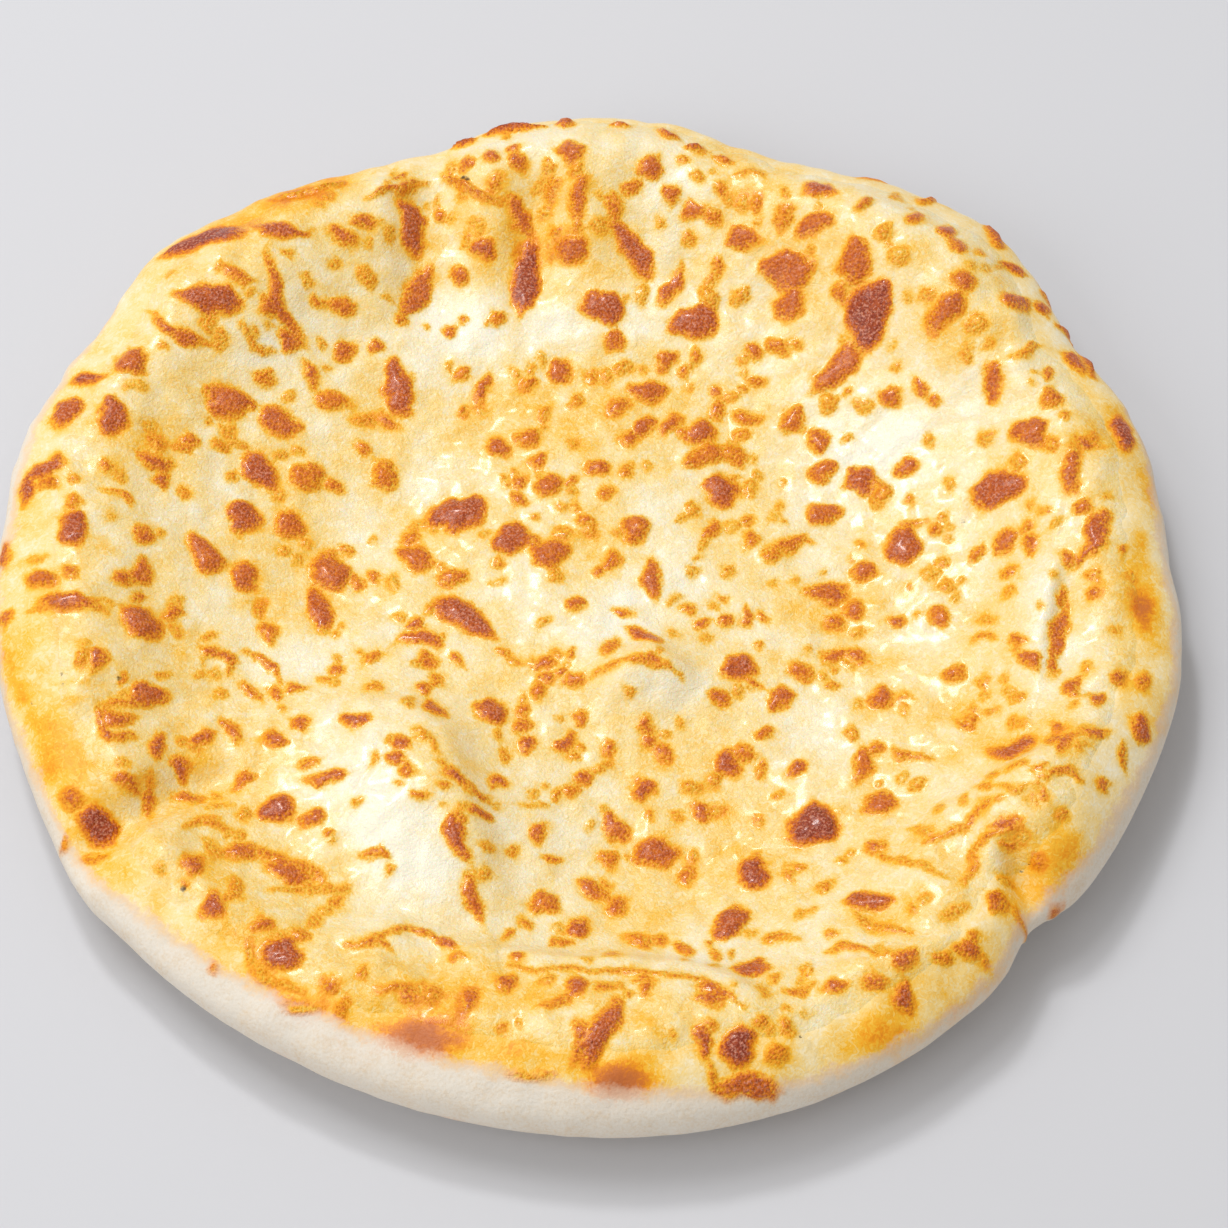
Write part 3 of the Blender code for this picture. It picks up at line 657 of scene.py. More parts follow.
    (110, -75, 2.1, 2.4, 0, 0.73), (48, -127, 5.1, 4.6, 0, 0.57), (111, -59, 2.4, 2.7, 0, 0.73),
    (103, -71, 4.4, 2.6, 20, 0.62), (102, -66, 6.4, 3.1, 20, 0.71), (116, -63, 3.3, 2.4, 0, 0.57),
    (80, -87, 2.1, 2.4, 0, 0.45), (54, -86, 2.4, 1.9, 0, 0.4), (61, -93, 2.8, 1.8, 0, 0.57),
    (50, -120, 2.3, 2.5, 0, 0.62), (83, 108, 6.2, 3.7, 30, 0.73), (75, 103, 4.4, 5.4, 0, 0.48),
    (91, 105, 5.7, 6.3, 0, 0.75), (93, 100, 5.2, 4.2, 130, 0.65), (99, 99, 2.3, 2.8, 0, 0.57),
    (95, 89, 6.4, 5.8, 150, 0.67), (85, 86, 3.3, 3.7, 0, 0.45), (64, 90, 5.6, 3.9, 90, 0.57),
    (98, 77, 4.6, 4.3, 0, 0.42), (96, 69, 3.1, 3.7, 0, 0.48), (116, 86, 4.9, 4.4, 0, 0.8),
    (107, 98, 4, 2.5, 150, 0.79), (124, 70, 8.1, 3.9, 110, 0.79), (117, 63, 4.6, 3.3, 90, 0.62),
    (77, 62, 5.1, 6.1, 0, 0.67), (85, 64, 5.2, 3.7, 160, 0.63), (88, 60, 3.8, 4, 0, 0.62),
    (61, 62, 6.4, 5.1, 90, 0.45), (78, 70, 3.1, 3.1, 0, 0.48), (116, 43, 4.5, 3.5, 90, 0.48),
    (108, 39, 3.8, 3, 0, 0.42), (70, 60, 4.6, 2.8, 0, 0.38), (78, 96, 4.1, 4.4, 0, 0.38),
))


# Browned strings and crests
STRANDS = (
    Strand(((2, -21), (7, -19), (14, -17), (20, -18), (25, -21)), 1.6, 0.55),
    Strand(((14, -17), (17, -16), (19, -17)), 2.2, 0.85),
    Strand(((-136, -14), (-130, -11), (-124, -9), (-118, -13)), 1.8, 0.62),
    Strand(((-116, -40), (-114, -47), (-108, -47)), 2.0, 0.78),
    Strand(((-115, -39), (-106, -36), (-102, -32)), 2.0, 0.72),
    Strand(((-94, -69), (-90, -66), (-83, -69)), 1.6, 0.58),
    Strand(((-84, -76), (-74, -75), (-64, -78), (-60, -82)), 2.2, 0.62),
    Strand(((-72, -86), (-64, -84), (-55, -84)), 1.6, 0.45),
    Strand(((-53, -101), (-49, -99), (-43, -101)), 1.8, 0.70),
    Strand(((-51, -100), (-40, -95), (-34, -96), (-27, -100)), 2.2, 0.62),
    Strand(((-39, -40), (-35, -47)), 1.5, 0.60),
    Strand(((-14, -57), (-8, -56)), 1.4, 0.42),
    Strand(((3, -46), (8, -44)), 1.3, 0.45),
    Strand(((-15, -104), (-10, -105), (-1, -106), (8, -106), (18, -106), (24, -107), (30, -108), (36, -112),
            (40, -116)), 1.3, 0.60),
    Strand(((-45, -112), (-38, -113), (-32, -116)), 2.2, 0.60),
    Strand(((-15, -133), (-3, -133)), 1.6, 0.42),
    Strand(((32, -129), (33, -134), (36, -135), (49, -134)), 2.6, 0.64),
    Strand(((83, -68), (89, -66), (94, -65), (96, -62), (98, -59), (101, -59)), 1.8, 0.60),
    Strand(((101, -55), (104, -58), (107, -57)), 1.2, 0.50),
    Strand(((110, -56), (114, -54), (117, -53), (121, -55)), 2.4, 0.65),
    Strand(((93, -81), (94, -76), (96, -72), (98, -69), (105, -67)), 2.0, 0.60),
    Strand(((70, -68), (75, -72), (82, -75), (88, -79)), 2.2, 0.50),
    Strand(((67, -88), (71, -91), (80, -94)), 1.8, 0.50),
    Strand(((60, -98), (64, -97), (68, -98), (73, -101)), 2.0, 0.60),
    Strand(((88, -90), (92, -87)), 1.8, 0.45),
    Strand(((104, -85), (106, -89), (108, -91)), 1.4, 0.60),
    Strand(((77, -39), (79, -41), (86, -42)), 2.2, 0.55),
    Strand(((-37, 135), (-32, 137)), 3.2, 0.95, 2.4),
    Strand(((-29, 138), (-23, 140), (-15, 140)), 3.6, 0.98, 2.6),
    Strand(((-11, 141), (-7, 141)), 3.0, 0.92, 2.2),
    Strand(((-41, 123), (-37, 122), (-32, 118), (-25, 116)), 3.0, 0.62, 1.8),
    Strand(((-59, 114), (-55, 117), (-50, 119), (-48, 121), (-45, 122)), 2.6, 0.60, 1.8),
    Strand(((-84, 113), (-73, 117), (-66, 120)), 3.0, 0.52, 1.8),
    Strand(((-90, 74), (-87, 70), (-81, 68)), 2.0, 0.50),
    Strand(((-93, 48), (-91, 43), (-87, 42)), 1.8, 0.50),
    Strand(((67, 110), (72, 114)), 3.0, 0.65, 1.8),
    Strand(((84, 117), (89, 125)), 2.6, 0.75, 1.8),
    Strand(((93, 121), (98, 121)), 2.4, 0.70, 1.8),
    Strand(((102, 115), (105, 105)), 3.2, 0.80, 1.8),
    Strand(((119, 82), (124, 81), (127, 76), (128, 66)), 4.2, 0.88, 1.8),
    Strand(((108, 67), (113, 72), (115, 73)), 2.0, 0.55),
    Strand(((4, 140), (9, 141)), 2.6, 0.78, 2.2),
    Strand(((16, 140), (21, 136)), 2.8, 0.82, 2.2),
    Strand(((23, 133), (28, 133)), 3.0, 0.84, 2.2),
    Strand(((30, 131), (35, 129)), 2.4, 0.74, 1.8),
    Strand(((35, 124), (41, 126), (44, 124)), 1.6, 0.50),
    Strand(((-84, -16), (-80, -18), (-77, -20), (-74, -25)), 2.8, 0.66),
    Strand(((-82, -90), (-80, -88), (-80, -84), (-81, -83)), 2.4, 0.50),
    Strand(((-76, -100), (-75, -106), (-73, -110), (-69, -112), (-63, -113)), 1.8, 0.42),
)


# Charred specks: x, y and radius in mm
SPECKS = (
    (-35.0, 123.2, 0.7), (-34.0, 122.4, 0.7), (94.8, 25.9, 0.45), (-126.2, -31.0, 0.4), (-125.7, -34.2, 0.4),
    (-92.6, -87.6, 0.7), (-133.1, -37.8, 0.35), (-112.4, -30.9, 0.6), (-6.5, 105.3, 0.3), (-6.0, 98.3, 0.3),
)


@dataclass(frozen=True)
class BlisterSize:
    """How many scattered blisters of one size there are, their lengths in mm, and how they keep together."""

    count: int
    shortest: float
    longest: float
    browning: float
    company: float
    closest: float


@dataclass
class Blistering:
    """The smallest blisters, scattered by a seeded rule between the placed ones."""

    form: BreadForm
    seed: int = 29
    browning_spread: tuple[float, float] = (-0.14, 0.16)
    roundness: tuple[float, float] = (0.5, 1.0)
    company_gap: tuple[float, float] = (-0.5, 3.0)
    popped_from: float = 2.4
    popped_share: float = 0.28
    sizes: tuple[BlisterSize, ...] = (
        BlisterSize(40, 3.0, 4.5, 0.46, 0.6, -0.3),
        BlisterSize(260, 1.4, 2.8, 0.40, 0.6, -0.3),
    )
    bare: tuple[Spot, ...] = (
        Spot(-46, -66, 22, 16, 120, 0.9), Spot(-8, 84, 24, 8, 10, 0.9), Spot(76, 52, 18, 10, 10, 0.8),
        Spot(12, 2, 14, 10, 30, 0.5), Spot(-38, 84, 12, 10, 0, 0.6), Spot(20, -24, 12, 9, 0, 0.8),
    )

    def scattered(self) -> list[Blister]:
        """The blisters, many of them close to another.

        Returns:
            The blisters, larger ones first.
        """
        random = np.random.default_rng(self.seed)
        taken = [(placed.x, placed.y, (placed.length + placed.width) / 4) for placed in PLACED_BLISTERS]
        made: list[Blister] = []
        for size in self.sizes:
            done = 0
            while done < size.count:
                length = random.uniform(size.shortest, size.longest)
                x, y = self._place(random, taken, length, size.company)
                gap = min(math.hypot(x - tx, y - ty) - reach for tx, ty, reach in taken) - length / 2
                bare = spots(np.array([x * MM]), np.array([y * MM]), self.bare)[0]
                if gap < size.closest or bare > random.uniform(0, 1) or not self._on_cheese(x, y, length):
                    continue
                width = length * random.uniform(*self.roundness)
                browning = size.browning + random.uniform(*self.browning_spread)
                popped = length > self.popped_from and random.uniform() < self.popped_share
                made.append(Blister(x, y, length, width, random.uniform(0, 180), browning, popped))
                taken.append((x, y, (length + width) / 4))
                done += 1
        return made

    def _place(self, random: np.random.Generator, taken: Sequence[tuple[float, float, float]],
               length: float, company: float) -> tuple[float, float]:
        """A place to try for one blister.

        Args:
            random: Where the draws come from.
            taken: x, y and reach of the blisters so far, in mm.
            length: The new blister's length in mm.
            company: How often it sits close to another.

        Returns:
            x and y in mm.
        """
        if random.uniform() < company:
            x, y, reach = taken[random.integers(len(taken))]
            distance = reach + length / 2 + random.uniform(*self.company_gap)
            bearing = random.uniform(0, math.tau)
            return x + distance * math.cos(bearing), y + distance * math.sin(bearing)
        distance, bearing = self.form.radius / MM * math.sqrt(random.uniform()), random.uniform(0, math.tau)
        return distance * math.cos(bearing), distance * math.sin(bearing)

    def _on_cheese(self, x: float, y: float, length: float) -> bool:
        """Whether a blister lies within the cheese's edge."""
        edge = self.form.cheese_edge(np.array([math.degrees(math.atan2(y, x))]))[0] / MM
        return math.hypot(x, y) + length / 3 < edge


@dataclass
class Browning:
    """How far each place of the top has browned, from 0, white, to 1, dark, and how the domes rise."""

    form: BreadForm
    blistering: Blistering
    seed: int = 7
    warp: float = 1.05
    farthest: float = 4.0
    margin: float = 2.0
    bends: tuple[float, float] = (-0.3, 0.3)
    dome_power: float = 2.2
    dome_flatness: float = 0.7
    base_heat: float = 0.185
    mottling: Layers = ((0.08, 3, 19), (0.06, 4, 7), (0.03, 5, 3))
    wander: Layers = ((1.0, 11, 4.5), (0.5, 12, 1.9))
    rim_heat: float = -0.01
    rim_starts: float = 85 * MM
    rim_ends: float = 130 * MM
    wash: float = 0.01
    wash_starts: float = -9 * MM
    wash_ends: float = 3 * MM
    wash_swings: tuple[Swing, ...] = (Swing(208, 28, 0.05), Swing(262, 26, 0.05), Swing(350, 22, 0.03))
    warm: tuple[Spot, ...] = (
        Spot(-78, 118, 26, 10, 35, 0.16), Spot(-122, 20, 30, 12, 95, 0.04), Spot(122, 30, 34, 10, 95, 0.05),
        Spot(100, 75, 24, 14, 130, 0.04), Spot(-75, -98, 36, 11, 145, 0.03),
        Spot(-20, -115, 40, 10, 175, 0.16), Spot(60, -112, 34, 10, 10, 0.03),
        Spot(112, -60, 26, 10, 60, -0.02), Spot(-20, 108, 16, 22, 90, 0.10),
        Spot(-58, 96, 12, 22, 0, 0.06), Spot(-30, 52, 20, 16, 0, 0.05), Spot(96, 45, 12, 20, 0, 0.07),
    )
    white: tuple[Spot, ...] = (
        Spot(-46, -66, 22, 14, 120, -0.26), Spot(-8, 84, 26, 8, 10, -0.22), Spot(76, 52, 20, 10, 10, -0.20),
        Spot(12, 2, 16, 9, 30, -0.12), Spot(-38, 84, 12, 10, 0, -0.14), Spot(20, -24, 12, 8, 0, -0.14),
        Spot(-95, 36, 12, 8, 110, -0.12), Spot(-86, 66, 14, 8, 150, -0.12), Spot(55, -30, 16, 9, 30, -0.10),
        Spot(85, -5, 14, 9, 60, -0.10), Spot(-105, -55, 14, 7, 40, -0.03), Spot(30, -100, 18, 7, 0, -0.10),
        Spot(115, -5, 5, 14, 0, -0.18), Spot(10, 3.5, 2.2, 1.6, 20, -0.30), Spot(60, 62, 10, 8, 0, -0.12),
        Spot(-60, -15, 18, 8, 20, -0.12),
    )
    baked: tuple[Spot, ...] = (
        Spot(-35, -125, 8, 5.5, 170, 0.46), Spot(11, -135, 8, 4.5, 5, 0.52), Spot(71, -120, 9, 5, 20, 0.28),
        Spot(114, -75, 9, 7, 60, 0.26), Spot(138, -4, 6, 4, 85, 0.40), Spot(142, 32, 9, 3, 100, 0.18),
        Spot(-60, -120, 12, 4, 150, 0.16), Spot(138, 15, 8, 3, 95, 0.20), Spot(95, -110, 12, 5, 35, 0.14),
        Spot(-134, -40, 22, 2.2, 114, 0.16), Spot(-121, -33.5, 6, 1.2, 0, 0.10),
        Spot(-120, -38, 6, 1.2, 0, 0.10), Spot(-115, -55, 7, 1.6, 170, 0.12),
        Spot(-9, -129, 11, 3.5, 0, 0.16), Spot(-127, -45, 10, 4, 114, 0.14), Spot(90, -105, 10, 3, 40, 0.08),
    )

    def ground(self, x: Array, y: Array) -> Array:
        """The browning between blisters.

        Args:
            x: Places in plan.
            y: The same.

        Returns:
            The browning at each place.
        """
        uneven = grains(x, y, self.mottling)
        placed = spots(x, y, self.warm) + spots(x, y, self.white) + spots(x, y, self.baked)
        distance, bearing = polar(x, y)
        rim = self.rim_heat * smoothstep(self.rim_starts, self.rim_ends, distance)
        past_edge = distance - self.form.cheese_edge(bearing)
        beyond = smoothstep(self.wash_starts, self.wash_ends, past_edge)
        washed = (self.wash + swings(bearing, self.wash_swings)) * beyond
        return self.base_heat + uneven + placed + rim + washed

    def specks(self, x: Array, y: Array) -> Array:
        """How far inside the nearest charred speck places lie, in mm."""
        inside = [radius - np.hypot(x / MM - right, y / MM - beyond) for right, beyond, radius in SPECKS]
        return np.maximum(np.max(inside, axis=0), -self.farthest)

    def fields(self, x: Array, y: Array) -> dict[str, Array]:
        """What both finishes need to know at each point."""
        crusts = self.crusts(x, y)
        return {
            "ground": self.ground(x, y),
            "depth": crusts.depth,
            "level": crusts.level,
            "speck": self.specks(x, y),
        }

    def _near(self, x: Array, y: Array, middle: Sequence[float], half_length: float) -> Array:
        """The numbers of the points that a crust can reach.

        Args:
            x: Places in plan.
            y: The same.
            middle: The crust's x and y in mm.
            half_length: Half its length in mm.

        Returns:
            The numbers.
        """
        reach = half_length + self.farthest + self.margin
        return np.flatnonzero(np.hypot(x / MM - middle[0], y / MM - middle[1]) < reach)

    def crusts(self, x: Array, y: Array) -> "Crusts":
        """What the blisters and strands give at each place.

        Args:
            x: Places in plan.
            y: The same.

        Returns:
            All of them laid.
        """
        shifted_x = x / MM + self.warp * grains(x, y, self.wander)
        shifted_y = y / MM + self.warp * grains(y + 1, x, self.wander)
        crusts = Crusts.none(x.shape, self.farthest)
        random = np.random.default_rng(self.seed)
        for blister in (*PLACED_BLISTERS, *self.blistering.scattered()):
            lobes = random.uniform(0, math.tau, 3)
            bend = random.uniform(*self.bends) * (blister.length / blister.width - 1)
            near = self._near(x, y, (blister.x, blister.y), blister.length / 2)
            inside, share = blister.depth(shifted_x[near], shifted_y[near], lobes, bend)
            dome = np.clip(1 - share**self.dome_power, 0, 1) ** self.dome_flatness
            crusts.add(near, inside, blister.browning, blister.height * dome)
        for strand in STRANDS:
            middle = np.mean(strand.points, axis=0)
            half_length = np.hypot(*(np.array(strand.points) - middle).T).max()
            near = self._near(x, y, middle, half_length)
            inside = strand.depth(shifted_x[near], shifted_y[near])
            ridge = smoothstep(-strand.foot, strand.width / 2, inside)
            crusts.add(near, inside, strand.browning, strand.rise * MM * ridge)
        return crusts


@dataclass
class Crusts:
    """What the crusts laid so far give at each place, with depths in mm, below 0 outside a crust."""

    depth: Array
    height: Array
    browning: Array
    weight: Array
    farthest: float
    sharpness: ClassVar[float] = 2.0
    least_weight: ClassVar[float] = 2e-4

    @classmethod
    def none(cls, shape: tuple[int, ...], farthest: float) -> "Crusts":
        """Starts with no crust.

        Args:
            shape: The shape of the places' numbers.
            farthest: How far outside a crust it still counts, in mm.

        Returns:
            The start.
        """
        weight = np.full(shape, cls.least_weight)
        return cls(np.full(shape, -farthest), np.zeros(shape), weight / 2, weight, farthest)

    def add(self, near: Array, inside: Array, browning: float, rise: Array) -> None:
        """Lays one more crust.

        Args:
            near: The numbers of the points it can reach.
            inside: The depth inside it there, in mm.
            browning: How brown it is.
            rise: How far it raises those points, in metres.
        """
        self.depth[near] = np.maximum(self.depth[near], inside)
        self.height[near] = np.maximum(self.height[near], rise)
        weight = np.exp(self.sharpness * np.clip(inside, -self.farthest, 1))
        self.browning[near] += weight * browning
        self.weight[near] += weight

    @property
    def level(self) -> Array:
        """How brown the nearest crusts are."""
        return self.browning / self.weight


class RingMesh:
    """A closed mesh through rings of points, from one pole to the other."""

    def __init__(self) -> None:
        """Starts with no rings."""
        self.rings: list[Array] = []
        self.bases: list[Array] = []

    def add(self, base: Sequence[Array], raised: Union[Sequence[Array], None] = None) -> None:
        """Adds the next ring of points.

        Args:
            base: x, y and z of the ring before blisters raise it.
            raised: The same after, where there are any.
        """
        self.bases.append(np.column_stack(base))
        self.rings.append(np.column_stack(base if raised is None else raised))

    def add_all(self, counts: Sequence[int], base: Sequence[Array], raised: Sequence[Array]) -> None:
        """Adds several rings at once.

        Args:
            counts: How many points each ring has.
            base: x, y and z of all of them before blisters raise them.
            raised: The same after.
        """
        splits = np.cumsum(counts)[:-1]
        before, after = (zip(*(np.split(axis, splits) for axis in points)) for points in (base, raised))
        for ring_base, ring_raised in zip(before, after):
            self.add(ring_base, ring_raised)

    def corners(self) -> list[range]:
        """The numbers of each ring's corners."""
        firsts = np.cumsum([0] + [len(ring) for ring in self.rings])
        return [range(int(first), int(after)) for first, after in zip(firsts, firsts[1:])]

    @staticmethod
    def stitch(ring_a: range, ring_b: range) -> list[tuple[int, int, int]]:
        """Triangles between two rings whose counts may differ. A ring of one corner makes a fan.

        Args:
            ring_a: The corners nearer the first pole.
            ring_b: The corners nearer the last pole.

        Returns:
            The triangles, facing out.
        """
        turns_a = len(ring_a) if len(ring_a) > 1 else 0
        turns_b = len(ring_b) if len(ring_b) > 1 else 0
        faces, a, b = [], 0, 0
        while a < turns_a or b < turns_b:
            corner_a, corner_b = ring_a[a % len(ring_a)], ring_b[b % len(ring_b)]
            if b == turns_b or (a < turns_a and (a + 0.5) / turns_a <= (b + 0.5) / turns_b):
                a += 1
                faces.append((corner_a, corner_b, ring_a[a % len(ring_a)]))
            else:
                b += 1
                faces.append((corner_a, corner_b, ring_b[b % len(ring_b)]))
        return faces

    def to_piece(self, name: str, origin: Array,
                 fields: Callable[[Array], dict[str, Array]]) -> bpy.types.Object:
        """Makes the piece.

        Args:
            name: The piece's name.
            origin: What becomes the zero point.
            fields: Gives what to store at each point under each name, from the points' bases.

        Returns:
            The new object, in the scene.
        """
        points, bases = np.concatenate(self.rings), np.concatenate(self.bases)
        faces: list[tuple[int, int, int]] = []
        corners = self.corners()
        for ring_a, ring_b in zip(corners, corners[1:]):
            faces += self.stitch(ring_a, ring_b)
        mesh = bpy.data.meshes.new(name)
        mesh.from_pydata((points - origin).tolist(), [], faces)
        mesh.shade_smooth()
        for field_name, values in fields(bases).items():
            field = mesh.attributes.new(field_name, "FLOAT", "POINT")
            field.data.foreach_set("value", values.astype(np.float32))
        piece = bpy.data.objects.new(name, mesh)
        bpy.context.scene.collection.objects.link(piece)
        return piece


class Wire:
    """One output of a shader node, which can stand in sums with numbers and other outputs."""

    def __init__(self, sheet: "ShaderSheet", socket: bpy.types.NodeSocket) -> None:
        """Wraps a socket.

        Args:
            sheet: The sheet the socket is on.
            socket: The output socket.
        """
        self.sheet = sheet
        self.socket = socket

    def _sum(self, operation: str, first: "Value", second: "Value") -> "Wire":
        """Adds the Math node that works out one operation."""
        return self.sheet.node("ShaderNodeMath", {"operation": operation}, {0: first, 1: second})

    def __add__(self, other: "Value") -> "Wire":
        """self + other."""
        return self._sum("ADD", self, other)

    def __radd__(self, other: "Value") -> "Wire":
        """other + self."""
        return self._sum("ADD", other, self)

    def __sub__(self, other: "Value") -> "Wire":
        """self - other."""
        return self._sum("SUBTRACT", self, other)

    def __rsub__(self, other: "Value") -> "Wire":
        """other - self."""
        return self._sum("SUBTRACT", other, self)

    def __mul__(self, other: "Value") -> "Wire":
        """self * other."""
        return self._sum("MULTIPLY", self, other)

    def __rmul__(self, other: "Value") -> "Wire":
        """other * self."""
        return self._sum("MULTIPLY", other, self)

    def size(self) -> "Wire":
        """The value without its sign."""
        return self.sheet.node("ShaderNodeMath", {"operation": "ABSOLUTE"}, {0: self})

    def between(self, low: float, high: float) -> "Wire":
        """A smooth rise from 0 at low to 1 at high."""
        return self.sheet.node(
            "ShaderNodeMapRange",
            {"interpolation_type": "SMOOTHSTEP"},
            {"Value": self, "From Min": low, "From Max": high, "To Min": 0.0, "To Max": 1.0},
        )


Value = Union[float, Wire]
Stops = Sequence[tuple[float, Colour]]


class ShaderSheet:
    """The node sheet of one finish."""

    def __init__(self, name: str) -> None:
        """Starts a material with a plain surface.

        Args:
            name: The material's name.
        """
        self.material = bpy.data.materials.new(name)
        self.material.use_nodes = True
        self.tree = self.material.node_tree
        self.surface = self.tree.nodes["Principled BSDF"]
        self.place = self.node("ShaderNodeTexCoord", {}, {}, "Object")

    def node(self, kind: str, settings: dict[str, object], inputs: dict[Union[int, str], object],
             output: Union[int, str] = 0) -> Wire:
        """Adds one node.

        Args:
            kind: Its type.
            settings: Its own properties, and a ramp's stops under "stops".
            inputs: A number, colour or wire for each socket that isn't left as it is.
            output: The socket wanted from it.

        Returns:
            That output.
        """
        made = self.tree.nodes.new(kind)
        for name, value in settings.items():
            if name == "stops":
                self._set_stops(made.color_ramp, value)
            else:
                setattr(made, name, value)
        for name, value in inputs.items():
            self.feed(made.inputs[name], value)
        return Wire(self, made.outputs[output])

    @staticmethod
    def _set_stops(ramp: bpy.types.ColorRamp, stops: Stops) -> None:
        """Gives a ramp its stops."""
        while len(ramp.elements) < len(stops):
            ramp.elements.new(1.0)
        for element, (position, colour) in zip(ramp.elements, stops):
            element.position = position
            element.color = colour

    def feed(self, socket: bpy.types.NodeSocket, value: object) -> None:
        """Links a wire to a socket, or sets the socket's own value."""
        if isinstance(value, Wire):
            self.tree.links.new(value.socket, socket)
        else:
            socket.default_value = value

    def field(self, name: str) -> Wire:
        """What the mesh stores at its points under a name."""
        return self.node("ShaderNodeAttribute", {"attribute_name": name}, {}, "Fac")

    def noise(self, size: float, detail: float = 2.0, roughness: float = 0.5, stretch: float = 0.0) -> Wire:
        """Cloudy noise from 0 to 1 with features of one size.

        Args:
            size: The features' size in metres.
            detail: How many finer layers it has.
            roughness: How strong the finer layers are.
            stretch: How much it swirls.

        Returns:
            The noise.
        """
        return self.node(
            "ShaderNodeTexNoise", {},
            {"Vector": self.place, "Scale": 1 / size, "Detail": detail, "Roughness": roughness,
             "Distortion": stretch},
        )

    def cells(self, size: float) -> Wire:
        """The distance to the middle of the nearest rounded cell, in cells of a size in metres."""
        inputs = {"Vector": self.place, "Scale": 1 / size}
        return self.node("ShaderNodeTexVoronoi", {"feature": "F1"}, inputs, "Distance")

    def ramp(self, value: Wire, stops: Stops) -> Wire:
        """A colour looked up on a ramp."""
        return self.node("ShaderNodeValToRGB", {"stops": stops}, {"Fac": value}, "Color")

    def mix(self, share: Value, first: object, second: object) -> Wire:
        """A mix of two colours, all of the second at a share of 1."""
        return self.node("ShaderNodeMix", {"data_type": "RGBA"}, {0: share, 6: first, 7: second}, 2)

    def bump(self, height: Wire, distance: float, strength: float) -> Wire:
        """A bumped normal.

        Args:
            height: The height from 0 to 1.
            distance: What a height of 1 is in metres.
            strength: How strongly it shows.

        Returns:
            The normal.
        """
        return self.node("ShaderNodeBump", {}, {"Height": height, "Distance": distance, "Strength": strength})

    def set(self, **values: object) -> None:
        """Sets or links the surface's sockets, named with _ for a space."""
        for name, value in values.items():
            self.feed(self.surface.inputs[name.replace("_", " ")], value)


